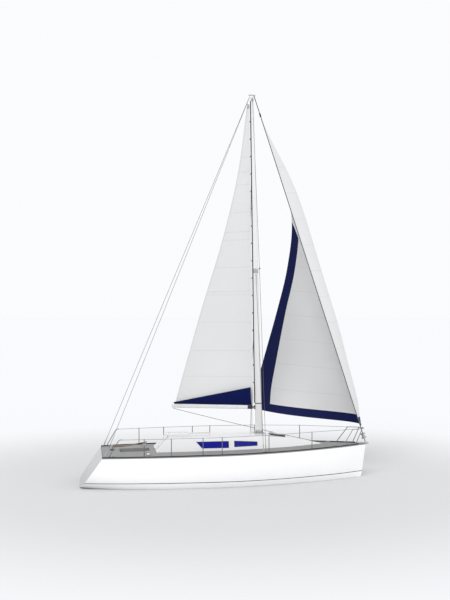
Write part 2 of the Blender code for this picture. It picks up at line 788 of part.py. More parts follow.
def boom_axis(z):
    """Point of the boom's swing axis, just behind the mast's track."""
    return Vector((mast_aft(z) - TRACK_DEPTH - AXIS_OFFSET, 0.0, z))


def build_mast():
    loft("mast", [mast_ring(MAST_FOOT.z), mast_ring(MAST_HEAD.z)], ((0.80, 0.80, 0.79), 0.4))
    step = box("mast_step", (MAST_FOOT.x - 0.17, -0.12, 1.45), (MAST_FOOT.x + 0.17, 0.12, MAST_FOOT.z - FIT),
               (STEEL, 0.4, 1.0))
    seat_on_roof(step)
    low = BOOM_HEIGHT + 0.14
    high = 12.62
    rings = []
    for z in (low, high):
        x = mast_aft(z) - FIT
        rings.append([(x, -0.008, z), (x, 0.008, z), (x - TRACK_DEPTH, 0.008, z), (x - TRACK_DEPTH, -0.008, z)])
    loft("mast_track", rings, (BLACK, 0.4))
    head = MAST_HEAD
    box("masthead_fitting", (head.x - 0.12, -0.03, head.z + FIT), (head.x + 0.11, 0.03, head.z + 0.03),
        (STEEL, 0.4, 1.0))
    for label, side in (("starboard", -1), ("port", 1)):
        root_x = mast_centre(SPREADER_HEIGHT).x
        root = Vector((root_x, side * (mast_chord(SPREADER_HEIGHT) / 2 * MAST_FINENESS + 0.0012), SPREADER_HEIGHT))
        tip = Vector((root_x - 0.03, side * SPREADER_SPAN, SPREADER_HEIGHT + 0.05))
        rings = []
        for point, chord in ((root, 0.05), (tip, 0.03)):
            rings.append([(point.x + chord * math.cos(a), point.y, point.z + 0.28 * chord * math.sin(a))
                          for a in [2 * math.pi * i / 10 for i in range(10)]])
        loft(f"spreader_{label}", rings, ((0.80, 0.80, 0.79), 0.4))


def chainplate(side):
    return Vector((1.10, side * 1.30, deck_top(1.10, 1.30)))


def build_rigging():
    wire = (STEEL, 0.35, 1.0)
    head = MAST_HEAD
    for label, side in (("starboard", -1), ("port", 1)):
        plate = chainplate(side)
        tip = Vector((mast_centre(SPREADER_HEIGHT).x - 0.03, side * (SPREADER_SPAN + WIRE + 0.0016),
                      SPREADER_HEIGHT + 0.05))
        shrouds = box(f"shrouds_{label}", plate + Vector((-0.075, -0.02, -0.02)),
                      plate + Vector((0.075, 0.02, 0.030)), wire)
        seat_on_deck(shrouds)
        top = Vector((head.x + 0.005, side * (MAST_HEAD_CHORD / 2 * MAST_FINENESS + WIRE + 0.003), head.z - 0.06))
        z = SPREADER_HEIGHT - 0.12
        root = Vector((mast_centre(z).x, side * (mast_chord(z) / 2 * MAST_FINENESS + WIRE + 0.0016), z))
        join(shrouds, tube(f"cap_shroud_{label}", [plate + Vector((0.03, 0, 0.015)), tip, top], WIRE),
             tube(f"lower_shroud_{label}", [plate + Vector((-0.045, 0, 0.015)), root], WIRE))
        start = Vector((-4.0, side * 1.26, deck_top(-4.0, 1.26) - 0.01))
        backstay = tube(f"backstay_{label}", [start, Vector((head.x - 0.08, side * 0.02, head.z - 0.03))], WIRE, wire)
        join(backstay, box(f"backstay_plate_{label}", start - Vector((0.03, 0.03, 0)),
                           start + Vector((0.05, 0.03, 0.022))))
        seat_on_deck(backstay)
    stay = tube("forestay", [stay_point(STEM_TOP - 0.05), stay_point(head.z + 0.05)], FOIL, wire, resolution=4)
    cut(stay, box("forestay_foot", (4.5, -0.1, 1.0), (5.1, 0.1, STEM_TOP + FIT)),
        box("forestay_head", (0.5, -0.1, head.z), (1.4, 0.1, head.z + 0.2)))
    stem = box("stemhead_fitting", (4.50, -0.045, sheer(4.5) - 0.01), (4.90, 0.045, STEM_TOP), wire)
    seat_on_deck(stem)
    low, high, radius = DRUM
    start = stay_point(low)
    end = stay_point(high)
    drum = turned("furler_drum", start, end,
                  [(0.0, radius), (0.2, radius), (0.24, radius * 0.6), (0.76, radius * 0.6), (0.8, radius),
                   (1.0, radius)], wire)
    cut(drum, rod("drum_bore", stay_point(low - 0.1), stay_point(high + 0.1), FOIL + FIT, sides=16))


def stay_point(z):
    share = (z - STAY_FOOT.z) / (STAY_HEAD.z - STAY_FOOT.z)
    return STAY_FOOT.lerp(STAY_HEAD, share)


# Boom and sails

def boom_frame():
    """Matrix that carries boom coordinates: aft along X, to windward along Y, up the axis along Z."""
    origin = boom_axis(BOOM_HEIGHT)
    up = (boom_axis(12.0) - boom_axis(3.0)).normalized()
    aft = Vector((-math.cos(BOOM_EASED), math.sin(BOOM_EASED), 0))
    aft = (aft - up * aft.dot(up)).normalized()
    side = up.cross(aft)
    frame = Matrix((aft, side, up)).transposed().to_4x4()
    return Matrix.Translation(origin) @ frame


def boom_box(name, low, high, looks=None):
    thing = box(name, low, high)
    thing.data.transform(boom_frame())
    if looks:
        finish(thing, *looks)
    return thing


def build_boom():
    frame = boom_frame()
    rings = []
    for x, size in ((0.20, 1.0), (BOOM_LENGTH - 0.04, 1.0), (BOOM_LENGTH, 0.8)):
        ring = []
        for i in range(16):
            angle = 2 * math.pi * i / 16
            y = BOOM_WIDTH / 2 * size * math.copysign(abs(math.cos(angle)) ** 0.6, math.cos(angle))
            z = BOOM_DEPTH / 2 * size * math.copysign(abs(math.sin(angle)) ** 0.6, math.sin(angle))
            ring.append(frame @ Vector((x, y, z)))
        rings.append(ring)
    boom = loft("boom", rings, (WHITE, 0.3))
    fitting = boom_box("boom_fitting", (0.045, -0.040, -0.060), (0.20 - FIT, 0.040, 0.060), (BLACK, 0.4))
    join(fitting, boom_box("boom_tongue", (-0.012, -0.020, -0.010), (0.05, 0.020, 0.010)))
    axis_low = frame @ Vector((0, 0, -0.1))
    axis_high = frame @ Vector((0, 0, 0.1))
    cut(fitting, rod("tongue_bore", axis_low, axis_high, 0.0072))
    origin = boom_axis(BOOM_HEIGHT)
    for thing in (boom, fitting):
        pivot(thing, origin)
    build_gooseneck(frame)


def build_gooseneck(frame):
    """Bracket on the mast with two lugs and the pin that the boom turns on."""
    back = mast_aft(BOOM_HEIGHT)
    bracket = box("gooseneck", (back - 0.018, -0.028, BOOM_HEIGHT - 0.07), (back + 0.06, 0.028, BOOM_HEIGHT + 0.07),
                  (BLACK, 0.4))
    cut(bracket, loft("gooseneck_seat", [mast_ring(2.0, 0.0004), mast_ring(3.0, 0.0004)]))
    for low in (-0.045, 0.020):
        join(bracket, box(f"lug_{low}", (back - 0.060, -0.016, BOOM_HEIGHT + low),
                          (back - 0.010, 0.016, BOOM_HEIGHT + low + 0.025)))
    join(bracket, rod("gooseneck_pin", frame @ Vector((0, 0, -0.040)), frame @ Vector((0, 0, 0.040)), 0.0065))
    return bracket


def bezier(a, b, c, d, t):
    return a * (1 - t) ** 3 + b * (3 * t * (1 - t) ** 2) + c * (3 * t * t * (1 - t)) + d * t ** 3


def sheet(name, rows, looks):
    """Thin closed solid on a grid of points."""
    mesh = bmesh.new()
    grid = [[mesh.verts.new(point) for point in row] for row in rows]
    for low, high in zip(grid, grid[1:]):
        for i in range(len(low) - 1):
            mesh.faces.new((low[i], low[i + 1], high[i + 1], high[i]))
    data = bpy.data.meshes.new(name)
    mesh.to_mesh(data)
    mesh.free()
    thing = bpy.data.objects.new(name, data)
    collection(BOAT).objects.link(thing)
    wall = thing.modifiers.new("thickness", "SOLIDIFY")
    wall.thickness = SAIL_THICK
    wall.offset = 0.0
    finish(thing, *looks)
    return thing


def genoa_point(height_share, across):
    """Point of the genoa; both shares run from 0 to 1, up the luff and from luff to leech."""
    low = GENOA_TABLE[0][0]
    high = GENOA_TABLE[-1][0]
    z = low + (high - low) * height_share
    leech = Vector([smooth_column(GENOA_TABLE, column, z) for column in (1, 2, 3)])
    entry = math.radians(smooth_column(GENOA_TABLE, 4, z))
    leave = math.radians(smooth_column(GENOA_TABLE, 5, z))
    start = Vector((-math.cos(entry), math.sin(entry), 0))
    end = Vector((-math.cos(leave), math.sin(leave), 0))
    luff = stay_point(z) + start * (FOIL + 0.0016)
    chord = (leech - luff).length
    rise = Vector((0, 0, leech.z - luff.z))
    point = bezier(luff, luff + start * 0.60 * chord + rise * 0.3, leech - end * 0.36 * chord - rise * 0.3, leech,
                   across)
    point.z -= GENOA_FOOT_ROUND * 4 * across * (1 - across) * (1 - height_share) ** 6
    return point


def build_genoa():
    rows = []
    for i in range(SAIL_UP + 1):
        rows.append([genoa_point(i / SAIL_UP, j / SAIL_ACROSS) for j in range(SAIL_ACROSS + 1)])
    sheet("genoa", rows, ((0.79, 0.79, 0.79), 0.8))


def main_point(height_share, across):
    """Point of the mainsail; shares run up the luff and from luff to leech."""
    low = MAIN_TABLE[0][0]
    high = MAIN_TABLE[-1][0]
    z = low + (high - low) * height_share
    chord, turn, depth = [smooth_column(MAIN_TABLE, column, z) for column in (1, 2, 3)]
    angle = math.radians(turn)
    s = across
    belly = depth * chord * 4.0 * s * (1 - s) * (1.25 - 0.5 * s)
    along = chord * s
    y = -along * math.sin(angle) - belly
    x = along * math.cos(angle) + 0.012
    return boom_frame() @ Vector((x, y, z - BOOM_HEIGHT))


def build_mainsail():
    rows = []
    for i in range(SAIL_UP + 1):
        rows.append([main_point(i / SAIL_UP, j / SAIL_ACROSS) for j in range(SAIL_ACROSS + 1)])
    sail = sheet("mainsail", rows, ((0.79, 0.79, 0.79), 0.8))
    pivot(sail, boom_axis(BOOM_HEIGHT))


def build_bag():
    """Open sail bag along the boom, tallest at the mast, with the mainsail's foot inside."""
    frame = boom_frame()
    floor = BOOM_DEPTH / 2 + FIT
    aft = BOOM_LENGTH - 0.10
    rings = []
    for i in range(BAG_SECTIONS + 1):
        share = i / BAG_SECTIONS
        height = BAG_HEIGHT + (BAG_END_HEIGHT - BAG_HEIGHT) * share
        swell = 1.0 - 0.25 * share * share
        outer = [(half * swell, floor + rise * height) for half, rise in BAG_SIDE]
        inner = [(y - BAG_WALL, max(z, floor + BAG_WALL)) for y, z in outer]
        outline = outer + inner[::-1] + [(-y, z) for y, z in inner] + [(-y, z) for y, z in outer[::-1]]
        rings.append([frame @ Vector((0.06 + (aft - 0.06) * share, y, z)) for y, z in outline])
    bag = loft("sail_bag", rings, (NAVY, 0.9))
    pivot(bag, boom_axis(BOOM_HEIGHT))


# Guard rails and deck gear

def rail_point(x, side, height=0.0):
    return Vector((x, side * (half_beam(x) - RAIL_INSET), sheer(x) + height))


def build_toe_rails():
    xs = [x for x in station_xs() if x < 4.56]
    for label, side in (("starboard", -1), ("port", 1)):
        rings = []
        for x in xs:
            outer = side * (half_beam(x) - 0.002)
            inner = side * (half_beam(x) - 0.030)
            low = sheer(x) + FIT
            rings.append([(x, outer, low), (x, outer, low + 0.035), (x, inner, low + 0.035), (x, inner, low)])
        loft(f"toe_rail_{label}", rings, (BLACK, 0.5))


def build_guard_rails():
    steel = (STEEL, 0.25, 1.0)
    for label, side in (("starboard", -1), ("port", 1)):
        aft_top = rail_point(-3.55, side, RAIL_HEIGHT)
        fore_top = pulpit_point(side * PULPIT_OPEN)
        posts = [rail_point(x, side) for x in STANCHIONS]
        tops = [rail_point(x, side, RAIL_HEIGHT) for x in STANCHIONS]
        line = tube(f"guard_rail_{label}", [aft_top, *tops, fore_top - Vector((0.02, 0, 0))], LINE, steel)
        for i, (foot, top) in enumerate(zip(posts, tops)):
            join(line, tube(f"stanchion_{label}_{i}", [foot, top + Vector((0, 0, 0.015))], TUBE))
            join(line, rod(f"stanchion_foot_{label}_{i}", foot - Vector((0, 0, 0.01)), foot + Vector((0, 0, 0.012)),
                           0.030, sides=12))
        base = rail_point(-3.90, side, -0.01)
        join(line, tube(f"pushpit_{label}", [base, rail_point(-3.60, side, RAIL_HEIGHT - 0.06),
                                             rail_point(-3.55, side, RAIL_HEIGHT),
                                             rail_point(-3.47, side, RAIL_HEIGHT + 0.005)], TUBE))
        seat_on_deck(line)


def pulpit_point(angle):
    return PULPIT + Vector((PULPIT_REACH * math.cos(angle), PULPIT_HALF * math.sin(angle), 0))


def build_pulpit():
    steel = (STEEL, 0.25, 1.0)
    count = 14
    arc = [pulpit_point(-PULPIT_OPEN + 2 * PULPIT_OPEN * i / count) for i in range(count + 1)]
    pulpit = tube("pulpit", arc, TUBE, steel)
    for i, (x, angle) in enumerate(((3.89, 71), (4.40, 32))):
        for side in (-1, 1):
            base = rail_point(x, side, -0.01)
            top = pulpit_point(side * math.radians(angle))
            join(pulpit, tube(f"pulpit_leg_{i}_{side}", [base, top], TUBE))
    return seat_on_deck(pulpit)


def build_deck_gear():
    for label, side in (("starboard", -1), ("port", 1)):
        x = -2.62
        y = side * 1.02
        low = deck_top(x, 1.02)
        winch = turned(f"winch_{label}", (x, y, low - 0.02), (x, y, low + 0.12),
                       [(0.0, 0.070), (0.38, 0.070), (0.45, 0.056), (0.75, 0.042), (0.88, 0.056), (1.0, 0.054)],
                       (STEEL, 0.3, 1.0))
        seat_on_deck(winch)
        for place, spot in (("aft", -3.75), ("bow", 3.62)):
            y = side * (half_beam(spot) - 0.17)
            low = deck_top(spot, abs(y))
            cleat = box(f"cleat_{place}_{label}", (spot - 0.10, y - 0.012, low + 0.028),
                        (spot + 0.10, y + 0.012, low + 0.045), (STEEL, 0.3, 1.0))
            join(cleat, box(f"cleat_foot_{place}_{label}", (spot - 0.035, y - 0.011, low - 0.02),
                            (spot + 0.035, y + 0.011, low + 0.035)))
            seat_on_deck(cleat)


def build():
    clear_scene()
    collection(BOAT)
    build_hull()
    build_deck()
    build_coachroof()
    build_windows()
    build_companionway()
    build_cockpit()
    build_forehatch()
    build_anchor_lid()
    build_keel()
    build_rudder()
    build_drive()
    build_mast()
    build_rigging()
    build_boom()
    build_mainsail()
    build_bag()
    build_genoa()
    build_toe_rails()
    build_guard_rails()
    build_pulpit()
    build_deck_gear()
    for thing in collection(BOAT).objects:
        thing.data.shade_smooth()
        thing.data.set_sharp_from_angle(angle=math.radians(35))


if __name__ == "__main__":
    build()
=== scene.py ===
"""Looks of the sailing cruiser: its shells, spars, sails, rigging, deck gear and finishes.

Metres. +X runs to the bow, +Y to port and +Z up, with the waterline at z = 0.
Run it as a script; the panel in the 3D view's sidebar lists its steps.
"""

import json
import math
from contextlib import contextmanager

import bmesh
import bpy
from bpy.props import FloatProperty, FloatVectorProperty, PointerProperty
from bpy.types import Operator, Panel, PropertyGroup
from mathutils import Matrix, Vector
from mathutils.bvhtree import BVHTree

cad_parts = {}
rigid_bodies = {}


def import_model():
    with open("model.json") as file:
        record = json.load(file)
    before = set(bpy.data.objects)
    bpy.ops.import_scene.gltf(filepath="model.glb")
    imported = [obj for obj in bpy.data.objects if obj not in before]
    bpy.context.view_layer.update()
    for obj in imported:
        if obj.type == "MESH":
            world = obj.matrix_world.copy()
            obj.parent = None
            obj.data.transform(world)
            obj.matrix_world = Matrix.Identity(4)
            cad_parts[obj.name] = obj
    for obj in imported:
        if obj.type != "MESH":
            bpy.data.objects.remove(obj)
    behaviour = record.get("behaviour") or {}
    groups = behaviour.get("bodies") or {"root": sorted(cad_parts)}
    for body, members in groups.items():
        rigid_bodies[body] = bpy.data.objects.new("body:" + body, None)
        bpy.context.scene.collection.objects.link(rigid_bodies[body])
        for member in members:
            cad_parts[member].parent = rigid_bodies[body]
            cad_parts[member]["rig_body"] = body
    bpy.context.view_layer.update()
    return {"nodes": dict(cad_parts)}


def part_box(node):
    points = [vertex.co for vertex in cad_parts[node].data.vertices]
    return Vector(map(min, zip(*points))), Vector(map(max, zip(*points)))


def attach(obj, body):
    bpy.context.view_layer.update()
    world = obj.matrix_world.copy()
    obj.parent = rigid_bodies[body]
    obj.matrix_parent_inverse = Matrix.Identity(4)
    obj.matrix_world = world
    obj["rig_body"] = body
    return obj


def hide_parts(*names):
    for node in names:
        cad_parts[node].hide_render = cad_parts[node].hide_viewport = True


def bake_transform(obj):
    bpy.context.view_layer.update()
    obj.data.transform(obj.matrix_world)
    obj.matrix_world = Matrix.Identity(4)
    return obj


bl_info = {
    "name": "Sailing Cruiser",
    "version": (1, 0, 0),
    "blender": (4, 5, 0),
    "location": "View3D > Sidebar > Boat",
    "description": "Dresses the sailing cruiser's frame with shells, sails, rigging and finishes",
    "category": "Object",
}

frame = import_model()
NODES = frame["nodes"]
SIDES = (("starboard", -1), ("port", 1))
UP = Vector((0, 0, 1))

# Rise of the deck's edge for each metre forward
SHEER_SLOPE = 0.0126

# Mast and boom, as in the frame
MAST_FOOT = Vector((1.135, 0.0, 1.56))
MAST_HEAD = Vector((0.905, 0.0, 12.80))
MAST_CHORDS = (0.240, 0.090)
MAST_FINENESS = 0.66
AXIS_BEHIND_MAST = 0.044
BOOM_HEIGHT = 2.400
BOOM_LENGTH = 2.92
BOOM_SIZE = (0.095, 0.135)
BOOM_EASED = math.radians(26.0)
# Power that makes the boom's section fuller than an ellipse
BOOM_FULLNESS = 0.6
# Ends of the boom's tube, and its bail's place, along the boom
BOOM_TUBE = (0.20, BOOM_LENGTH - 0.05)
BAIL_AT = BOOM_LENGTH - 0.06
# Collars and painted band of the mast: lower edge and height
MAST_COLLARS = ((1.562, 0.09), (6.87, 0.16), (12.62, 0.10))
MAST_BAND = (2.515, 0.030)
# Half the spacing of the mast step's bolts, lengthwise and across
STEP_BOLTS = (0.15, 0.10)
# Slides of the mainsail: number, lowest one and step
LUFF_SLIDES = (16, 3.2, 0.58)

# Forestay, and heights on it of its toggle and of the furler's swivel
STAY_FOOT = Vector((4.80, 0.0, 1.175))
STAY_HEAD = Vector((0.985, 0.0, 12.75))
STAY_RADIUS = 0.014
TOGGLE_HEIGHT = 1.161
SWIVEL_HEIGHT = 12.10

# Bolts of the stemhead fitting: x, y and the height of its plate
STEM_BOLTS = ((4.535, 4.60, 4.665), (-0.026, 0.026))
STEM_TOP = 1.16

# Shrouds and backstays: x and y of their feet, and where the cap shroud passes the spreader
CHAINPLATE = (1.10, 1.30)
BACKSTAY_FOOT = (-4.0, 1.26)
SPREADER_HEIGHT = 6.95
SPREADER_REACH = 0.888

# Line from the boom's end to the foredeck: x and y of its eye, its drop under the boom and its sag
FOREDECK_EYE = (3.22, 0.30)
LINE_DROP = 0.028
LINE_SAG = 0.03

# Genoa: height up the stay, leech x, y and z, entry angle and exit angle in degrees from aft
GENOA_TABLE = [
    (1.70, 1.20, 1.22, 2.23, 115.0, 12.0),
    (2.60, 1.36, 1.70, 2.98, 132.0, 10.0),
    (3.70, 1.73, 2.12, 4.05, 139.0, 14.0),
    (5.20, 2.18, 2.30, 5.50, 149.0, 22.0),
    (6.90, 2.55, 2.14, 7.15, 148.0, 32.0),
    (8.60, 2.60, 1.62, 8.80, 147.0, 45.0),
    (10.30, 2.10, 0.95, 10.42, 145.0, 55.0),
    (12.00, 1.245, 0.035, 12.02, 100.0, 80.0),
]
# How far its foot curves down between its corners
FOOT_ROUND = 0.16
# From the forestay's surface to the middle of the genoa's cloth
LUFF_GAP = 0.0016
# Mainsail: height up the luff, chord, angle from the boom, depth as a share of the chord
MAIN_TABLE = [
    (2.4748, 2.78, 0.0, 0.005),
    (3.00, 2.64, 0.5, 0.030),
    (4.20, 2.28, 1.5, 0.075),
    (6.00, 1.72, 3.0, 0.095),
    (8.00, 1.05, 5.0, 0.100),
    (10.20, 0.46, 7.0, 0.090),
    (12.55, 0.07, 8.0, 0.020),
]
BATTEN_HEIGHTS = (4.3, 6.3, 8.3, 10.3)
BATTEN_WIDTH = 0.07
# Levels at which a sail is measured, and what its seams and hems add to its cut
SAIL_LEVELS = 24
HEMMED = 1.02

# Sail bag: half width and share of the bag's height, up one side
BAG_SIDE = [(0.035, 0.0), (0.090, 0.30), (0.118, 0.65), (0.125, 1.0)]
# Its heights by the mast and at its after end, and its place along the boom
BAG_HEIGHTS = (0.60, 0.05)
BAG_START = 0.06
BAG_LENGTH = BOOM_LENGTH - 0.16
# How far its sides wave in and out
BAG_SLACK = 0.011
# Its straps: places along the boom, width, and where they run round the section in degrees
BAG_STRAPS = (0.55, 1.25, 1.95, 2.55)
STRAP_WIDTH = 0.040
STRAP_START = 52.5
STRAP_TURN = 285.0

# Transom: a point of its face, the way that it looks, and its run forward for each metre up
TRANSOM_AT = Vector((-4.4179, 0.0, 0.5235))
TRANSOM_OUT = Vector((-0.8115, 0, 0.5843))
TRANSOM_SLOPE = 0.72
# Strip along its top: half width and lower edge, and the after end of the deck over it
TRANSOM_TRIM = (1.235, 0.978)
DECK_END = -4.070

# Fittings of the lids: inset of hinges and latch, half the spacing of the anchor locker's hinges, one leaf
HINGE_INSET = 0.12
LATCH_INSET = 0.06
ANCHOR_HINGES = 0.11
HINGE_LEAF = (0.038, 0.056, 0.003)

# Washboards: thickness and width
WASHBOARD = (0.020, 0.612)

# Rudder's axis and the end of the propeller's hub
RUDDER_X = -3.74
HUB_END = Vector((-2.2495, 0, -0.70))

# Pulpit: middle of its arc, half length and half width of the arc, and the angle of its open ends
PULPIT = Vector((4.05, 0.0, 1.64))
PULPIT_SIZE = (0.69, 0.36)
PULPIT_OPEN = math.radians(71)

# Camera, solved from the photograph
CAMERA_AT = Vector((-4.70, -32.55, 5.86))
CAMERA_TURN = (math.radians(90.2), 0.0, math.radians(-8.2))
CAMERA_LENS = 59.34

# Floor's colour by the boat, where it is painted darker as a shadow pool round the boat, and far from it,
# and the distances between which that painted shadow fades
FLOOR_PAINTED_SHADE = (0.60, 0.60, 0.605)
FLOOR_FAR = (0.753, 0.757, 0.768)
PAINTED_SHADE_FADE = (6.5, 16.0)
FLOOR_RADIUS = 400.0

# Light of the sky, then each lamp's energy, spread and turn in degrees
SKY_COLOUR = (0.98, 0.985, 1.0, 1.0)
SKY_STRENGTH = 0.985
LAMPS = (("key", 1.02, 30, (48, 0, -32)), ("fill", 0.50, 60, (60, 0, 50)))

STRIPE_COLOUR = (0.012, 0.014, 0.022)

# Turned forms: number of sides, then height and radius of each ring
PROFILES = {
    "bolt": (16, [(0.0, 0.0091), (0.0025, 0.00875), (0.0035, 0.007), (0.006, 0.0049), (0.007, 0.0014)]),
    "lid_latch": (40, [(-0.004, 0.030), (0.002, 0.030), (0.003, 0.027), (0.001, 0.020)]),
    "hatch_dog": (40, [(-0.001, 0.018), (0.006, 0.018), (0.008, 0.015), (0.010, 0.004)]),
    "board_latch": (24, [(-0.001, 0.024), (0.003, 0.024), (0.005, 0.020), (0.006, 0.011), (0.016, 0.010),
                         (0.018, 0.004)]),
    "hub_nut": (24, [(-0.012, 0.026), (0.004, 0.025), (0.012, 0.014), (0.014, 0.004)]),
    "tiller_head": (40, [(0, 0.043), (0.003, 0.045), (0.046, 0.045), (0.049, 0.042), (0.050, 0.004)]),
    "spreader_boot": (24, [(0.0, 0.012), (0.004, 0.020), (0.020, 0.022), (0.030, 0.016), (0.034, 0.005)]),
    "luff_slide": (16, [(0.0, 0.006), (0.003, 0.0095), (0.048, 0.0095), (0.051, 0.006)]),
    "turnbuckle": (24, [(0.020, 0.008), (0.060, 0.008), (0.062, 0.014), (0.076, 0.014), (0.078, 0.012),
                        (0.085, 0.017), (0.205, 0.017), (0.212, 0.012), (0.214, 0.014), (0.228, 0.014),
                        (0.230, 0.010), (0.330, 0.009), (0.334, 0.004)]),
    "furler_swivel": (28, [(0.0, 0.020), (0.006, 0.028), (0.05, 0.028), (0.058, 0.022), (0.075, 0.022),
                           (0.082, 0.028), (0.115, 0.028), (0.122, 0.018)]),
    "stay_toggle": (28, [(0.0, 0.026), (0.006, 0.028), (0.030, 0.028), (0.040, 0.021), (0.085, 0.021),
                         (0.093, 0.016)]),
    "eye_base": (28, [(-0.003, 0.036), (0.003, 0.036), (0.005, 0.032), (0.006, 0.010)]),
    "sail_ring": (28, [(0.0, 0.028), (0.002, 0.035), (0.006, 0.0378), (0.010, 0.035), (0.012, 0.028),
                       (0.006, 0.021)]),
    "rail_sleeve": (28, [(0.0, 0.009), (0.004, 0.0155), (0.040, 0.0165), (0.052, 0.0165), (0.056, 0.012)]),
    "winch": (48, [(0.0, 0.070), (0.012, 0.070), (0.014, 0.064), (0.030, 0.060), (0.048, 0.048),
                   (0.070, 0.043), (0.086, 0.050), (0.092, 0.058), (0.100, 0.058), (0.104, 0.050),
                   (0.112, 0.048), (0.118, 0.040), (0.118, 0.014), (0.106, 0.013)]),
    "cleat_leg": (20, [(0.0, 0.017), (0.004, 0.016), (0.012, 0.010), (0.034, 0.008)]),
}

FINISHES = {}
SURFACES = {}


def length_property(name, description, default):
    return FloatProperty(name=name, description=description, default=default, unit="LENGTH")


def colour_property(name, description, *default):
    return FloatVectorProperty(name=name, description=description, default=default, subtype="COLOR")


class BoatSizes(PropertyGroup):
    stripe_low: length_property("Stripe height", "Lower edge of the boot stripe over the water", 0.190)
    stripe_wide: length_property("Stripe width", "Width of the boot stripe", 0.022)
    cloth: length_property("Sailcloth", "Thickness of the sails", 0.003)
    panel: length_property("Sail panels", "Height of one panel of the sails", 0.92)
    leech_band: length_property("Leech band", "Width of the genoa's band at its top", 0.33)
    clew_band: length_property("Clew band", "Width of the genoa's band by the clew", 0.54)
    foot_band: length_property("Foot band", "Width of the genoa's band along the foot", 0.31)
    band_top: length_property("Band top", "Height of the genoa's band over the foot, at the leech", 7.2)
    line: length_property("Line", "Diameter of the line from the boom to the foredeck", 0.014)


class BoatColours(PropertyGroup):
    hull: colour_property("Hull", "Gelcoat above the water", 0.92, 0.92, 0.92)
    # Transom: its white gelcoat painted dark grey, as painted shade on its aft face
    transom: colour_property("Transom", "Gelcoat of the transom", 0.35, 0.35, 0.35)
    deck: colour_property("Deck", "Non-slip deck", 0.25, 0.25, 0.25)
    roof: colour_property("Coachroof", "Gelcoat of the coachroof", 0.67, 0.67, 0.67)
    cloth: colour_property("Sailcloth", "Both sails", 0.67, 0.67, 0.67)
    navy: colour_property("Navy", "Bands of the genoa and the sail bag", 0.0, 0.004, 0.062)
    window: colour_property("Windows", "Tinted side windows", 0.0, 0.003, 0.215)
    spar: colour_property("Spars", "Painted mast and spreaders", 0.70, 0.70, 0.69)
    boom: colour_property("Boom", "Painted boom", 0.70, 0.70, 0.70)
    bottom: colour_property("Antifouling", "Hull, keel and rudder under water", 0.045, 0.055, 0.095)


# Selecting and editing

def select_only(*things):
    bpy.ops.object.select_all(action="DESELECT")
    for thing in things:
        thing.select_set(True)
    bpy.context.view_layer.objects.active = things[-1]


@contextmanager
def editing(thing):
    """Edit mode on one piece, with all of it selected."""
    select_only(thing)
    bpy.ops.object.mode_set(mode="EDIT")
    bpy.ops.mesh.select_all(action="SELECT")
    yield
    bpy.ops.object.mode_set(mode="OBJECT")


def new_object(name, data):
    made = bpy.data.objects.new(name, data)
    bpy.context.scene.collection.objects.link(made)
    return made


def primitive(name, add, **settings):
    """New piece from one of the mesh primitives."""
    bpy.ops.object.select_all(action="DESELECT")
    add(**settings)
    bpy.context.object.name = name
    return bpy.context.object


def apply_modifier(thing, kind, **settings):
    made = thing.modifiers.new(kind.title(), kind)
    for key, value in settings.items():
        setattr(made, key, value)
    select_only(thing)
    bpy.ops.object.modifier_apply(modifier=made.name)


def smooth(thing, angle):
    select_only(thing)
    bpy.ops.object.shade_smooth_by_angle(angle=math.radians(angle))
    return thing


def thicken(thing, thickness, angle=60):
    """Gives a sheet its thickness, half to either side."""
    apply_modifier(thing, "SOLIDIFY", thickness=thickness, offset=0.0)
    return smooth(thing, angle)


def hand_over(thing, finish, body="hull", replaces=None):
    """Gives a done piece its finish, and puts it on a body, or on that of the node it replaces."""
    thing.data.materials.clear()
    thing.data.materials.append(FINISHES[finish])
    if replaces:
        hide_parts(replaces)
        body = NODES[replaces]["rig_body"]
    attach(thing, body)
    return thing


def paint_faces(thing, finish, chosen):
    """Second finish, on the faces that a test picks out."""
    thing.data.materials.append(FINISHES[finish])
    for face in thing.data.polygons:
        face.material_index = int(chosen(face))


def surface_copy(node, name, angle=35.0, bevel=0.0, flat=False):
    """Copy of a node's surface with its points merged, its flats joined and its edges rounded."""
    piece = new_object(name, NODES[node].data.copy())
    with editing(piece):
        bpy.ops.mesh.remove_doubles(threshold=0.00002)
        if flat or bevel:
            bpy.ops.mesh.dissolve_limited(angle_limit=math.radians(0.4))
        else:
            bpy.ops.mesh.tris_convert_to_quads()
    select_only(piece)
    bpy.ops.mesh.customdata_custom_splitnormals_clear()
    if bevel:
        apply_modifier(piece, "BEVEL", width=bevel, segments=2, limit_method="ANGLE",
                       angle_limit=math.radians(40), use_clamp_overlap=True)
    return smooth(piece, angle)


def dress(node, ending, finish, **surface):
    """Piece with a node's own surface, in a finish; its name is the node's with an ending."""
    return hand_over(surface_copy(node, f"{node}_{ending}", **surface), finish, replaces=node)


def drop_on(node, x, y):
    """Height of a node's top at x and y."""
    if node not in SURFACES:
        mesh = NODES[node].data
        corners = [v.co for v in mesh.vertices]
        SURFACES[node] = BVHTree.FromPolygons(corners, [p.vertices for p in mesh.polygons])
    hit = SURFACES[node].ray_cast(Vector((x, y, 20.0)), -UP)[0]
    if hit is None:
        raise RuntimeError(f"{node} has no surface at {x}, {y}")
    return hit.z


def deck_point(x, y, rise=0.0):
    """Point on the deck, or a little over it."""
    return Vector((x, y, drop_on("deck", x, y) + rise))


def along(start, end):
    """Matrix that puts +Z on the way from start to end, at start."""
    start = Vector(start)
    turn = UP.rotation_difference(Vector(end) - start).to_matrix().to_4x4()
    return Matrix.Translation(start) @ turn


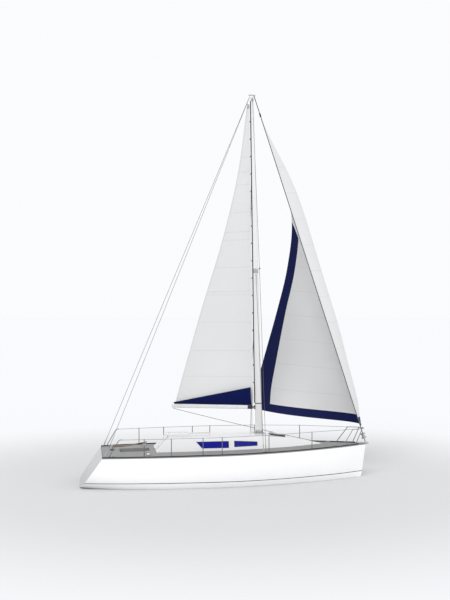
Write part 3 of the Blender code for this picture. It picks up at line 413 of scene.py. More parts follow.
def turned(name, form, place):
    """Turned piece up +Z of a place, with one of the profiles."""
    sides, profile = PROFILES[form]
    height, radius = profile[0]
    place = place @ Matrix.Translation((0, 0, height))
    piece = primitive(name, bpy.ops.mesh.primitive_circle_add, vertices=sides, radius=radius,
                      fill_type="NGON")
    with editing(piece):
        for next_height, next_radius in profile[1:]:
            bpy.ops.mesh.extrude_region_move(TRANSFORM_OT_translate={"value": (0, 0, next_height - height)})
            share = next_radius / radius
            bpy.ops.transform.resize(value=(share, share, 1))
            height, radius = next_height, next_radius
        bpy.ops.mesh.select_all(action="SELECT")
        bpy.ops.mesh.normals_make_consistent(inside=False)
    piece.data.transform(place)
    return smooth(piece, 30)


def fit(name, form, place, finish="stainless", body="hull", replaces=None):
    """Turned piece in its finish."""
    return hand_over(turned(name, form, place), finish, body, replaces)


def tube(name, points, radius, sides=4, cyclic=False, radii=None, smoothness=0):
    """Round bar through points, as a mesh."""
    curve = bpy.data.curves.new(name, "CURVE")
    curve.dimensions = "3D"
    curve.bevel_depth = radius
    curve.bevel_resolution = sides
    curve.use_fill_caps = not cyclic
    spline = curve.splines.new("BEZIER" if smoothness else "POLY")
    spline.use_cyclic_u = cyclic
    spline.resolution_u = max(1, smoothness)
    slots = spline.bezier_points if smoothness else spline.points
    slots.add(len(points) - 1)
    for i, (slot, point) in enumerate(zip(slots, points)):
        slot.co = point if smoothness else (*point, 1.0)
        slot.radius = radii[i] if radii else 1.0
        if smoothness:
            slot.handle_left_type = slot.handle_right_type = "AUTO"
    select_only(new_object(name, curve))
    bpy.ops.object.convert(target="MESH")
    piece = bpy.context.object
    with editing(piece):
        bpy.ops.mesh.remove_doubles(threshold=0.00001)
        bpy.ops.mesh.normals_make_consistent(inside=False)
    return smooth(piece, 50)


def block(name, place, size, bevel, segments=2):
    """Bevelled block about the middle of a place."""
    piece = primitive(name, bpy.ops.mesh.primitive_cube_add, size=1.0)
    piece.data.transform(place @ Matrix.Diagonal((*size, 1.0)))
    apply_modifier(piece, "BEVEL", width=bevel, segments=segments)
    return smooth(piece, 40)


def merge(name, *things):
    """Joins pieces into one."""
    select_only(*things[1:], things[0])
    bpy.ops.object.join()
    bpy.context.object.name = name
    return bpy.context.object


# Finishes

class Finish:
    """A principled material and its nodes."""

    def __init__(self, name, colour, roughness, metallic=0.0, coat=0.0, sheen=0.0, specular=0.5):
        self.material = bpy.data.materials.new(name)
        self.material.use_nodes = True
        self.nodes = self.material.node_tree.nodes
        self.links = self.material.node_tree.links
        self.shader = self.nodes["Principled BSDF"]
        self.set("Base Color", (*colour, 1.0))
        self.set("Roughness", roughness)
        self.set("Metallic", metallic)
        self.set("Coat Weight", coat)
        self.set("Coat Roughness", 0.08)
        self.set("Sheen Weight", sheen)
        self.set("Specular IOR Level", specular)
        self.colour = tuple(colour)
        self.roughness = roughness
        self.relief = None
        FINISHES[name] = self.material

    def set(self, socket, value):
        self.shader.inputs[socket].default_value = value

    def node(self, kind, inputs=(), **settings):
        made = self.nodes.new("ShaderNode" + kind)
        for key, value in settings.items():
            setattr(made, key, value)
        for socket, value in dict(inputs).items():
            if isinstance(value, bpy.types.NodeSocket):
                self.links.new(value, made.inputs[socket])
            else:
                made.inputs[socket].default_value = value
        return made

    def math(self, operation, a, b=0.0, c=0.0):
        return self.node("Math", {0: a, 1: b, 2: c}, operation=operation).outputs[0]

    def coordinates(self, stretch=(1, 1, 1)):
        source = self.node("TexCoord").outputs["Object"]
        return self.node("Mapping", {"Vector": source, "Scale": stretch}).outputs[0]

    def noise(self, scale, detail=3.0, stretch=(1, 1, 1)):
        where = self.coordinates(stretch)
        return self.node("TexNoise", {"Vector": where, "Scale": scale, "Detail": detail}).outputs[0]

    def mix(self, share, a, b):
        """Blend of two colours, each a socket or three numbers."""
        made = self.node("Mix", data_type="RGBA")
        for socket, value in ((0, share), (6, a), (7, b)):
            if isinstance(value, bpy.types.NodeSocket):
                self.links.new(value, made.inputs[socket])
            else:
                made.inputs[socket].default_value = value if socket == 0 else (*value[:3], 1.0)
        return made.outputs[2]

    def tint(self, share, spread, colour=None):
        """Colour that varies by a small spread."""
        colour = colour or self.colour
        dark = tuple(c * (1 - spread) for c in colour)
        light = tuple(min(1.0, c * (1 + spread)) for c in colour)
        return self.mix(share, dark, light)

    def drive(self, socket, value):
        self.links.new(value, self.shader.inputs[socket])

    def vary_roughness(self, share, spread):
        low = max(0.02, self.roughness - spread)
        high = min(1.0, self.roughness + spread)
        made = self.node("MapRange", {"Value": share, "To Min": low, "To Max": high})
        self.drive("Roughness", made.outputs[0])

    def bump(self, height, strength, distance):
        """Relief on top of what the surface has already."""
        made = self.node("Bump", {"Height": height, "Strength": strength, "Distance": distance})
        if self.relief:
            self.links.new(self.relief, made.inputs["Normal"])
        self.relief = made.outputs[0]
        self.drive("Normal", self.relief)


def plain_finish(name, colour, roughness, grain, spread, coat=0.0, specular=0.5, relief=0.0003,
                 stretch=(1, 1, 1), strength=0.25):
    """Finish with a slight unevenness of colour, gloss and surface."""
    made = Finish(name, colour, roughness, coat=coat, specular=specular)
    cloud = made.noise(grain * 0.08)
    fine = made.noise(grain, stretch=stretch)
    made.drive("Base Color", made.tint(cloud, spread))
    made.vary_roughness(fine, min(0.12, roughness * 0.3))
    made.bump(fine, strength, relief)


def hull_finish(colours, sizes):
    """Gelcoat with its boot stripe, over antifouling below the water."""
    made = Finish("gelcoat", colours.hull, 0.18, coat=0.4)
    height = made.node("SeparateXYZ", {0: made.coordinates()}).outputs[2]
    over_stripe = made.math("GREATER_THAN", height, sizes.stripe_low)
    under_top = made.math("LESS_THAN", height, sizes.stripe_low + sizes.stripe_wide)
    stripe = made.math("MULTIPLY", over_stripe, under_top)
    wet = made.math("LESS_THAN", height, 0.004)
    cloud = made.noise(1.3)
    white = made.tint(cloud, 0.012)
    striped = made.mix(stripe, white, STRIPE_COLOUR)
    growth = made.tint(made.noise(9.0, 6.0), 0.25, tuple(colours.bottom))
    made.drive("Base Color", made.mix(wet, striped, growth))
    gloss = made.node("MapRange", {"Value": cloud, "To Min": 0.15, "To Max": 0.22}).outputs[0]
    made.drive("Roughness", made.math("MULTIPLY_ADD", wet, 0.5, gloss))
    made.bump(made.noise(2.2, 1.0), 0.06, 0.004)


def deck_finish(colours):
    """Non-slip paint with a fine grit in it."""
    made = Finish("nonslip", colours.deck, 0.72)
    grit = made.node("TexVoronoi", {"Vector": made.coordinates(), "Scale": 130.0}).outputs["Distance"]
    made.drive("Base Color", made.tint(made.noise(3.0, 5.0), 0.07))
    made.vary_roughness(made.noise(20.0), 0.08)
    made.bump(grit, 0.5, 0.0012)


def metal_finish(name, colour, roughness, direction=(1, 1, 1)):
    """Brushed or polished metal, its grain drawn out along one way."""
    made = Finish(name, colour, roughness, metallic=1.0)
    grain = made.noise(60.0, 4.0, stretch=direction)
    made.drive("Base Color", made.tint(made.noise(5.0), 0.06))
    made.vary_roughness(grain, roughness * 0.45)
    made.bump(grain, 0.12, 0.0003)


def cloth_weave(made, where):
    """Height of a plain weave from two crossing threads."""
    threads = []
    for axis in ("X", "Y"):
        wave = made.node("TexWave", {"Vector": where, "Scale": 190.0}, bands_direction=axis)
        threads.append(wave.outputs["Fac"])
    return made.math("MAXIMUM", *threads)


def sail_finish(name, colour, sizes, corners, bands=None):
    """Woven sailcloth with sewn panels; its map gives metres from the leech and up from the foot."""
    made = Finish(name, colour, 0.62, specular=0.2)
    where = made.node("UVMap", uv_map="cloth").outputs[0]
    split = made.node("SeparateXYZ", {0: where})
    from_leech, from_foot = split.outputs[0], split.outputs[1]
    panel = made.math("FRACT", made.math("DIVIDE", from_foot, sizes.panel))
    seam = made.math("LESS_THAN", panel, 0.022 / sizes.panel)
    tabling = made.math("LESS_THAN", from_leech, 0.045)
    sewn = made.math("MAXIMUM", seam, tabling)
    for across, up, radius in corners:
        corner = {0: where, 1: (across, up, 0)}
        reach = made.node("VectorMath", corner, operation="DISTANCE").outputs["Value"]
        rings = made.math("LESS_THAN", made.math("FRACT", made.math("DIVIDE", reach, radius / 3)), 0.05)
        patch = made.math("LESS_THAN", reach, radius * 1.05)
        sewn = made.math("MAXIMUM", sewn, made.math("MULTIPLY", rings, patch))
    cloud = made.noise(0.9, 4.0)
    thread = tuple(c * 0.72 for c in colour)
    cloth = made.mix(made.math("MULTIPLY", sewn, 0.30), made.tint(cloud, 0.025), thread)
    height = sewn
    if bands:
        low = made.math("LESS_THAN", from_foot, sizes.foot_band)
        width = made.node("MapRange", {"Value": from_foot, "From Min": 0.4, "From Max": 4.4,
                                       "To Min": sizes.clew_band, "To Max": sizes.leech_band},
                          interpolation_type="SMOOTHSTEP").outputs[0]
        edge = made.math("LESS_THAN", from_leech, width)
        cut = made.math("LESS_THAN", made.math("MULTIPLY_ADD", from_leech, 1.83, from_foot), sizes.band_top)
        band = made.math("MAXIMUM", low, made.math("MULTIPLY", edge, cut))
        cloth = made.mix(band, cloth, made.tint(cloud, 0.12, bands))
        height = made.math("MAXIMUM", height, band)
    made.drive("Base Color", cloth)
    made.vary_roughness(cloud, 0.06)
    made.bump(cloth_weave(made, where), 0.25, 0.0004)
    made.bump(height, 0.5, 0.0012)


def canvas_finish(name, colour):
    """Woven canvas; its map carries the weave."""
    made = Finish(name, colour, 0.85, sheen=0.03, specular=0.15)
    where = made.node("UVMap", uv_map="cloth").outputs[0]
    made.drive("Base Color", made.tint(made.noise(6.0, 6.0), 0.16))
    made.vary_roughness(made.noise(15.0), 0.06)
    made.bump(cloth_weave(made, where), 0.45, 0.0005)


def wood_finish(name, colour, stretch, axis, board):
    """Varnished wood with its grain along one way and joints across an axis."""
    made = Finish(name, colour, 0.32, coat=0.6)
    streaks = made.noise(9.0, 6.0, stretch=stretch)
    pores = made.noise(70.0, 3.0, stretch=stretch)
    grain = made.node("MapRange", {"Value": streaks, "From Min": 0.32, "From Max": 0.68}).outputs[0]
    level = made.node("SeparateXYZ", {0: made.coordinates()}).outputs[axis]
    joint = made.math("LESS_THAN", made.math("FRACT", made.math("DIVIDE", level, board)), 0.06)
    wood = made.mix(grain, tuple(c * 0.55 for c in colour), colour)
    made.drive("Base Color", made.mix(joint, wood, tuple(c * 0.15 for c in colour)))
    made.vary_roughness(pores, 0.06)
    made.bump(pores, 0.2, 0.0003)
    made.bump(made.math("MULTIPLY", joint, -1.0), 0.5, 0.001)


def rope_finish(name, colour):
    """Line with the small cells of a braid."""
    made = Finish(name, colour, 0.8, sheen=0.2)
    braid = made.node("TexVoronoi", {"Vector": made.coordinates(), "Scale": 260.0}).outputs["Distance"]
    made.drive("Base Color", made.tint(braid, 0.25))
    made.vary_roughness(braid, 0.05)
    made.bump(braid, 0.6, 0.0008)


def make_finishes():
    colours = bpy.context.scene.boat_colours
    sizes = bpy.context.scene.boat_sizes
    navy = tuple(colours.navy)
    hull_finish(colours, sizes)
    deck_finish(colours)
    # The transom's grey is painted shade: white gelcoat darkened to the tone of a face in shade
    plain_finish("transom", colours.transom, 0.30, coat=0.3, grain=2.0, spread=0.02, relief=0.002)
    plain_finish("roof", colours.roof, 0.24, coat=0.3, grain=6.0, spread=0.015, relief=0.0015,
                 strength=0.08)
    plain_finish("tinted_pane", colours.window, 0.08, specular=0.2, grain=1.5, spread=0.10, relief=0.0008,
                 strength=0.05)
    plain_finish("smoked_pane", (0.03, 0.04, 0.05), 0.09, coat=0.8, grain=1.5, spread=0.10, strength=0.05)
    plain_finish("black", (0.018, 0.018, 0.019), 0.42, grain=70.0, spread=0.15)
    plain_finish("gasket", (0.012, 0.012, 0.013), 0.62, grain=90.0, spread=0.15)
    plain_finish("spar", colours.spar, 0.33, coat=0.3, grain=14.0, spread=0.03, stretch=(1, 1, 0.12))
    plain_finish("boom_paint", colours.boom, 0.28, coat=0.3, grain=14.0, spread=0.02)
    plain_finish("bottom", colours.bottom, 0.72, grain=22.0, spread=0.25, relief=0.0012)
    plain_finish("enamel", (0.25, 0.26, 0.27), 0.5, grain=30.0, spread=0.12, relief=0.0008)
    metal_finish("stainless", (0.46, 0.47, 0.49), 0.24)
    metal_finish("rail_steel", (0.20, 0.20, 0.21), 0.30)
    metal_finish("wire", (0.13, 0.13, 0.14), 0.38, direction=(1, 1, 0.2))
    metal_finish("bronze", (0.50, 0.32, 0.12), 0.34)
    wood_finish("tiller_wood", (0.30, 0.20, 0.12), (0.5, 8, 8), 1, 0.011)
    rope_finish("line", (0.025, 0.025, 0.03))
    canvas_finish("bag_canvas", navy)
    canvas_finish("webbing", (0.66, 0.66, 0.65))
    foot = (STAY_FOOT - Vector(GENOA_TABLE[0][1:4])).length
    cloth = tuple(colours.cloth)
    sail_finish("genoa_cloth", cloth, sizes, bands=navy, corners=((0.0, 0.0, 0.75), (foot, 0.0, 0.60)))
    sail_finish("main_cloth", cloth, sizes, corners=((0.0, 0.0, 0.60), (MAIN_TABLE[0][1], 0.0, 0.50)))


# Curves shared by the sails and spars

def smooth_column(table, column, x):
    """Reads a table's column at x along a smooth curve through its rows."""
    xs = [row[0] for row in table]
    last = len(table) - 1
    k = max(0, min(last - 1, sum(1 for value in xs if value <= x) - 1))

    def slope(i):
        low = max(0, i - 1)
        high = min(last, i + 1)
        return (table[high][column] - table[low][column]) / (xs[high] - xs[low])

    span = xs[k + 1] - xs[k]
    t = (x - xs[k]) / span
    a = table[k][column]
    b = table[k + 1][column]
    return (
        a * (1 + 2 * t) * (1 - t) ** 2 + b * t * t * (3 - 2 * t)
        + span * (slope(k) * t * (1 - t) ** 2 - slope(k + 1) * t * t * (1 - t))
    )


def mast_centre(z):
    return MAST_FOOT.lerp(MAST_HEAD, (z - MAST_FOOT.z) / (MAST_HEAD.z - MAST_FOOT.z))


def mast_chord(z):
    share = (z - MAST_FOOT.z) / (MAST_HEAD.z - MAST_FOOT.z)
    return MAST_CHORDS[0] + (MAST_CHORDS[1] - MAST_CHORDS[0]) * share


def boom_axis(z):
    return Vector((mast_centre(z).x - mast_chord(z) / 2 - AXIS_BEHIND_MAST, 0.0, z))


def boom_frame():
    """Matrix that carries boom coordinates: aft along X, to windward along Y, up the axis along Z."""
    up = (boom_axis(12.0) - boom_axis(3.0)).normalized()
    aft = Vector((-math.cos(BOOM_EASED), math.sin(BOOM_EASED), 0))
    aft = (aft - up * aft.dot(up)).normalized()
    turn = Matrix((aft, up.cross(aft), up)).transposed().to_4x4()
    return Matrix.Translation(boom_axis(BOOM_HEIGHT)) @ turn


def boom_section(angle, grow=0.0):
    """Sideways and upward place on the boom's section, grown outward."""
    width, depth = BOOM_SIZE
    y = (width / 2 + grow) * math.copysign(abs(math.cos(angle)) ** BOOM_FULLNESS, math.cos(angle))
    z = (depth / 2 + grow) * math.copysign(abs(math.sin(angle)) ** BOOM_FULLNESS, math.sin(angle))
    return y, z


def stay_point(z):
    return STAY_FOOT.lerp(STAY_HEAD, (z - STAY_FOOT.z) / (STAY_HEAD.z - STAY_FOOT.z))


def bezier(a, b, c, d, t):
    return a * (1 - t) ** 3 + b * (3 * t * (1 - t) ** 2) + c * (3 * t * t * (1 - t)) + d * t ** 3


def genoa_point(across, up):
    """Point of the genoa; shares run from luff to leech and up the luff."""
    z = GENOA_TABLE[0][0] + (GENOA_TABLE[-1][0] - GENOA_TABLE[0][0]) * up
    leech = Vector([smooth_column(GENOA_TABLE, column, z) for column in (1, 2, 3)])
    entry = math.radians(smooth_column(GENOA_TABLE, 4, z))
    leave = math.radians(smooth_column(GENOA_TABLE, 5, z))
    start = Vector((-math.cos(entry), math.sin(entry), 0))
    end = Vector((-math.cos(leave), math.sin(leave), 0))
    luff = stay_point(z) + start * (STAY_RADIUS + LUFF_GAP)
    chord = (leech - luff).length
    rise = Vector((0, 0, leech.z - luff.z)) * 0.3
    lead = luff + start * 0.60 * chord + rise
    trail = leech - end * 0.36 * chord - rise
    point = bezier(luff, lead, trail, leech, across)
    point.z -= FOOT_ROUND * 4 * across * (1 - across) * (1 - up) ** 6
    return point


def main_point(across, up):
    """Point of the mainsail; shares run from luff to leech and up the luff."""
    z = MAIN_TABLE[0][0] + (MAIN_TABLE[-1][0] - MAIN_TABLE[0][0]) * up
    chord, turn, depth = [smooth_column(MAIN_TABLE, column, z) for column in (1, 2, 3)]
    angle = math.radians(turn)
    belly = depth * chord * 4.0 * across * (1 - across) * (1.25 - 0.5 * across)
    x = chord * across * math.cos(angle) + 0.012
    y = -chord * across * math.sin(angle) - belly
    return boom_frame() @ Vector((x, y, z - BOOM_HEIGHT))


def cloth_grid(name, across, up, place, size):
    """Grid shaped by a function of two shares; its map gives metres by a second function."""
    piece = primitive(name, bpy.ops.mesh.primitive_grid_add, x_subdivisions=across, y_subdivisions=up,
                      size=1.0)
    shares = [(v.co.x + 0.5, v.co.y + 0.5) for v in piece.data.vertices]
    piece.data.uv_layers[0].name = "cloth"
    for loop, uv in zip(piece.data.loops, piece.data.uv_layers[0].data):
        uv.uv = size(*shares[loop.vertex_index])
    for vertex, (u, v) in zip(piece.data.vertices, shares):
        vertex.co = place(u, v)
    return piece


def curve_length(point, steps):
    """Length of the curve that a function of one share gives."""
    points = [point(i / steps) for i in range(steps + 1)]
    return sum((b - a).length for a, b in zip(points, points[1:]))


def chord_lengths(place):
    """Lengths of a sail's sections from foot to head."""
    return [curve_length(lambda u: place(u, i / SAIL_LEVELS), 16) for i in range(SAIL_LEVELS + 1)]


def read_row(rows, share):
    at = share * (len(rows) - 1)
    k = min(len(rows) - 2, int(at))
    return rows[k] + (rows[k + 1] - rows[k]) * (at - k)


# Pieces

def build_hull():

    # Faces of the transom take the transom finish, whose grey is painted shade on the white gelcoat
    def painted_shade_on_transom(face):
        return face.normal.dot(TRANSOM_OUT) > 0.985 and face.center.x < DECK_END + 0.17

    paint_faces(dress("hull", "shell", "gelcoat", angle=30, flat=True), "transom", painted_shade_on_transom)
    for label, _ in SIDES:
        dress(f"toe_rail_{label}", "strip", "black", bevel=0.004)
    build_transom_trim()


def transom_x(z):
    """Where the transom's face stands at a height, no further forward than the deck's end."""
    return min(TRANSOM_AT.x + (z - TRANSOM_AT.z) * TRANSOM_SLOPE, DECK_END)


def build_transom_trim():
    """Strip and moulding along the joint between transom and deck."""
    half, low = TRANSOM_TRIM

    def on_joint(u, v):
        y = half * (2 * u - 1)
        z = low + (drop_on("deck", DECK_END + 0.012, y) + 0.004 - low) * v
        return Vector((transom_x(z) - 0.005, y, z))

    strip = cloth_grid("transom_trim", 40, 6, on_joint, lambda u, v: (u, v))
    # The strip takes the transom finish, painted shade like the transom itself
    hand_over(thicken(strip, 0.006, 30), "transom")
    edge = [on_joint(i / 24, 1.0) - Vector((0.003, 0, 0.005)) for i in range(25)]
    hand_over(tube("stern_moulding", edge, 0.009), "black")


def bolts(name, points):
    """Domed bolt heads that point up, as one piece."""
    heads = [turned(f"{name}_{i}", "bolt", Matrix.Translation(Vector(point) - UP * 0.001))
             for i, point in enumerate(points)]
    return hand_over(merge(name, *heads), "stainless")


def hinge(label, pivot, reach, lid, pin):
    """Two leaves, one on the deck and one on the lid, with the knuckle on the lid's."""
    axis = Vector(pin).normalized()
    reach = Vector(reach).normalized()
    if reach.cross(axis).z < 0:
        axis = -axis
    turn = Matrix((reach, axis, reach.cross(axis).normalized())).transposed().to_4x4()
    leaves = []
    for part, middle in (("fixed", -0.0245), ("leaf", 0.0225)):
        place = Matrix.Translation(pivot) @ turn @ Matrix.Translation((middle, 0, 0.0013))
        leaves.append(block(f"hinge_{part}_{label}", place, HINGE_LEAF, bevel=0.001))
    hand_over(leaves[0], "stainless")
    ends = [pivot - axis * 0.030, pivot + axis * 0.030]
    knuckle = tube(f"hinge_knuckle_{label}", ends, 0.0042, sides=5)
    hand_over(merge(f"hinge_moving_{label}", leaves[1], knuckle), "stainless", lid)


def build_deck():
    dress("deck", "skin", "nonslip", angle=25)
    well = surface_copy("cockpit_well", "cockpit_lining", flat=True)
    hand_over(well, "nonslip", replaces="cockpit_well")
    for node in ("locker_lid_starboard", "locker_lid_port", "anchor_locker_lid"):
        dress(node, "panel", "nonslip", bevel=0.0025)
    for label, side in SIDES:
        lid = f"locker_lid_{label}"
        low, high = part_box(lid)
        outer = side * max(abs(low.y), abs(high.y))
        for i, x in enumerate((low.x + HINGE_INSET, high.x - HINGE_INSET)):
            z = drop_on(lid, x, outer - side * 0.01)
            hinge(f"{label}_{i}", Vector((x, outer, z)), (0, -side, 0), lid, (1, 0, SHEER_SLOPE))
        middle = (low.x + high.x) / 2
        inner = side * min(abs(low.y), abs(high.y)) + side * LATCH_INSET
        place = Matrix.Translation((middle, inner, drop_on(lid, middle, inner)))
        fit(f"latch_{label}", "lid_latch", place, body=lid)
    lid = "anchor_locker_lid"
    low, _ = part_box(lid)
    for i, y in enumerate((-ANCHOR_HINGES, ANCHOR_HINGES)):
        z = drop_on(lid, low.x + 0.01, y)
        hinge(f"anchor_{i}", Vector((low.x, y, z)), (1, 0, 0), lid, (0, 1, 0))


def pane_rim(node, outward):
    """Corner points round the outer face of a window pane."""
    mesh = bmesh.new()
    mesh.from_mesh(NODES[node].data)
    bmesh.ops.remove_doubles(mesh, verts=mesh.verts[:], dist=0.00002)
    outer = {face for face in mesh.faces if face.normal.dot(outward) > 0.7}
    rim = [edge for edge in mesh.edges if sum(face in outer for face in edge.link_faces) == 1]
    path = [rim[0].verts[0], rim[0].verts[1]]
    left = rim[1:]
    while left:
        following = next((e for e in left if path[-1] in e.verts), None)
        if following is None:
            break
        left.remove(following)
        path.append(following.other_vert(path[-1]))
    points = [v.co.copy() for v in path[:-1]]
    mesh.free()
    return points


def build_coachroof():
    dress("coachroof", "shell", "roof", angle=32)
    for label, side in SIDES:
        for place in ("aft", "forward"):
            node = f"window_{place}_{label}"
            dress(node, "pane", "tinted_pane", flat=True)
            rim = pane_rim(node, Vector((0, side, 0)))
            gasket = tube(f"window_gasket_{place}_{label}", rim, 0.009, cyclic=True)
            hand_over(gasket, "gasket")
    hatches = (
        ("hatch_runners", "roof", 0.003), ("companionway_hatch", "roof", 0.007),
        ("companionway_washboard", "roof", 0.003), ("forehatch_frame", "black", 0.003),
        ("forehatch_lid", "smoked_pane", 0.004),
    )
    for node, finish, bevel in hatches:
        dress(node, "piece", finish, bevel=bevel)
    build_upper_washboard()
    low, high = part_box("companionway_hatch")
    ways = ((-0.09, -0.002), (-0.085, 0.025), (0.085, 0.025), (0.09, -0.002))
    grip = tube("hatch_grip", [(low.x + 0.07, y, high.z + z) for y, z in ways], 0.006)
    hand_over(grip, "stainless", "companionway_hatch")
    lid = "forehatch_lid"
    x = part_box(lid)[0].x + 0.07
    for label, side in SIDES:
        place = Matrix.Translation((x, side * 0.13, drop_on(lid, x, side * 0.13)))
        fit(f"hatch_dog_{label}", "hatch_dog", place, "black", lid)


def build_upper_washboard():
    """Board in the slope of the lower washboard, up to the underside of the hatch, with its latch."""
    low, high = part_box("companionway_washboard")
    thick, wide = WASHBOARD
    slope = (high.x - low.x - thick) / (high.z - low.z)
    foot = high.z + 0.0015
    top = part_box("companionway_hatch")[0].z - 0.003
    middle = (foot + top) / 2
    lean = Matrix.Translation((high.x - thick / 2 + slope * (middle - high.z), 0, middle))
    lean[0][2] = slope
    hand_over(block("washboard_upper", lean, (thick, wide, top - foot), bevel=0.003), "roof")
    level = high.z - 0.06
    face = Vector((low.x + slope * (level - low.z), 0, level))
    outward = Vector((-1, 0, slope)).normalized()
    fit("washboard_latch", "board_latch", along(face, face + outward))


def build_underwater():
    pieces = (
        ("keel", "bottom"), ("rudder", "bottom"), ("saildrive_leg", "enamel"), ("propeller", "bronze"),
        ("rudder_bearing", "black"), ("engine", "enamel"),
    )
    for node, finish in pieces:
        form = dress(node, "form", finish, angle=40)
        if node == "rudder":
            paint_faces(form, "stainless", lambda face: face.center.z > 0.1)
    place = along(HUB_END, HUB_END - Vector((1, 0, 0)))
    fit("propeller_nut", "hub_nut", place, "bronze", "propeller")


def build_tiller():
    """Laminated tiller on its steel head."""
    pin = Vector((RUDDER_X, 0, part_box("tiller")[0].z))
    fit("tiller_head", "tiller_head", Matrix.Translation(pin), body="rudder")
    ways = ((0.03, 0.026), (0.30, 0.030), (0.60, 0.060), (0.90, 0.115), (1.14, 0.158))
    bar = tube("tiller_bar", [pin + Vector((x, 0, z)) for x, z in ways], 0.026, sides=6, smoothness=8,
               radii=(1.0, 1.0, 0.85, 0.66, 0.52))
    for vertex in bar.data.vertices:
        vertex.co.y *= 0.86
    hand_over(bar, "tiller_wood", replaces="tiller")


def ellipse_spar(name, low, high):
    """Length of the tapered elliptical mast."""
    piece = primitive(name, bpy.ops.mesh.primitive_cylinder_add, vertices=48, radius=1.0, depth=1.0)
    for vertex in piece.data.vertices:
        z = low if vertex.co.z < 0 else high
        reach = mast_chord(z) / 2
        vertex.co = (mast_centre(z).x + reach * vertex.co.x, reach * MAST_FINENESS * vertex.co.y, z)
    return piece


def mast_collar(name, z, high, grow):
    """Ring round the mast that stands out by a little."""
    collar = ellipse_spar(name, z, z + high)
    centre = mast_centre(z + high / 2)
    for vertex in collar.data.vertices:
        away = vertex.co - Vector((centre.x, 0, vertex.co.z))
        vertex.co = vertex.co + away.normalized() * grow
    apply_modifier(collar, "BEVEL", width=min(0.0015, grow), segments=2, limit_method="ANGLE")
    return smooth(collar, 40)


def build_spars():
    mast = ellipse_spar("mast_tube", MAST_FOOT.z, MAST_HEAD.z)
    apply_modifier(mast, "BEVEL", width=0.003, segments=2, limit_method="ANGLE")
    hand_over(smooth(mast, 40), "spar", replaces="mast")
    for i, (z, high) in enumerate(MAST_COLLARS):
        hand_over(mast_collar(f"mast_collar_{i}", z, high, 0.003), "stainless")
    hand_over(mast_collar("mast_band", *MAST_BAND, 0.002), "black")
    for node in ("mast_step", "masthead_fitting", "stemhead_fitting"):
        dress(node, "piece", "stainless", bevel=0.004)
    for node in ("mast_track", "gooseneck", "boom_fitting"):
        dress(node, "piece", "black")
    for label, side in SIDES:
        node = f"spreader_{label}"
        dress(node, "blade", "spar", angle=50)
        low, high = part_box(node)
        reach = max(abs(low.y), abs(high.y)) - 0.02
        tip = Vector(((low.x + high.x) / 2 - 0.015, side * reach, high.z - 0.012))
        place = along(tip, tip + Vector((0, side, 0.05)))
        fit(f"spreader_boot_{label}", "spreader_boot", place, "gasket")
    count, lowest, step = LUFF_SLIDES
    slides = []
    for i in range(count):
        z = lowest + step * i
        slides.append(turned(f"luff_slide_{i}", "luff_slide", along(boom_axis(z), boom_axis(z + 0.06))))
    hand_over(merge("luff_slides", *slides), "black", "boom")
    x, y = STEP_BOLTS
    top = drop_on("mast_step", MAST_FOOT.x + x, y)
    bolts("mast_step_bolts", [(MAST_FOOT.x + a, b, top) for a in (-x, x) for b in (-y, y)])
    build_boom()


def build_boom():
    """Boom with rounded corners, and a cap and a bail at its end."""
    place = boom_frame()
    width, depth = BOOM_SIZE
    boom = primitive("boom_tube", bpy.ops.mesh.primitive_cylinder_add, vertices=48, radius=1.0, depth=1.0)
    for vertex in boom.data.vertices:
        x = BOOM_TUBE[0] if vertex.co.z < 0 else BOOM_TUBE[1]
        y, z = boom_section(math.atan2(vertex.co.y, vertex.co.x))
        vertex.co = place @ Vector((x, y * 0.995, z * 0.995))
    with editing(boom):
        bpy.ops.mesh.normals_make_consistent(inside=False)
    hand_over(smooth(boom, 40), "boom_paint", replaces="boom")
    cap = block("boom_cap", place @ Matrix.Translation((BOOM_LENGTH - 0.028, 0, 0)),
                (0.052, width * 0.97, depth * 0.97), bevel=0.018, segments=4)
    hand_over(cap, "boom_paint", "boom")
    ways = ((-0.020, 0.004), (-0.012, -0.030), (0.012, -0.030), (0.020, 0.004))
    path = [place @ Vector((BAIL_AT + x, 0, z - depth / 2)) for x, z in ways]
    hand_over(tube("boom_bail", path, 0.004, smoothness=6), "stainless", "boom")


def turnbuckle(label, foot, head):
    """Closed turnbuckle on the lower end of a wire, with its toggle."""
    place = along(foot, head)
    screw = turned(f"turnbuckle_{label}", "turnbuckle", place)
    middle = place @ Matrix.Translation((0, 0, 0.012))
    toggle = block(f"toggle_{label}", middle, (0.030, 0.012, 0.034), bevel=0.004)
    hand_over(merge(f"turnbuckle_{label}", screw, toggle), "stainless")


def build_rigging():
    for node in ("forestay", "backstay_port", "backstay_starboard", "shrouds_port", "shrouds_starboard"):
        dress(node, "wire", "wire", angle=50)
    dress("furler_drum", "form", "stainless", angle=40)
    for label, side in SIDES:
        plate = deck_point(CHAINPLATE[0], side * CHAINPLATE[1], 0.015)
        tip_x = mast_centre(SPREADER_HEIGHT).x - 0.03
        turnbuckle(f"cap_{label}", plate + Vector((0.03, 0, 0)),
                   Vector((tip_x, side * SPREADER_REACH, SPREADER_HEIGHT + 0.05)))
        z = SPREADER_HEIGHT - 0.12
        root = Vector((mast_centre(z).x, side * (mast_chord(z) / 2 * MAST_FINENESS + 0.008), z))
        turnbuckle(f"lower_{label}", plate + Vector((-0.045, 0, 0)), root)
        foot = deck_point(BACKSTAY_FOOT[0], side * BACKSTAY_FOOT[1], 0.002)
        turnbuckle(f"backstay_{label}", foot, MAST_HEAD + Vector((-0.08, side * 0.02, -0.03)))
    place = along(stay_point(SWIVEL_HEIGHT), stay_point(SWIVEL_HEIGHT + 0.2))
    fit("furler_swivel", "furler_swivel", place, "black")
    place = along(stay_point(TOGGLE_HEIGHT), stay_point(TOGGLE_HEIGHT + 0.139))
    fit("forestay_toggle", "stay_toggle", place)
    bolts("stem_bolts", [(x, y, STEM_TOP) for x in STEM_BOLTS[0] for y in STEM_BOLTS[1]])
    build_preventer()


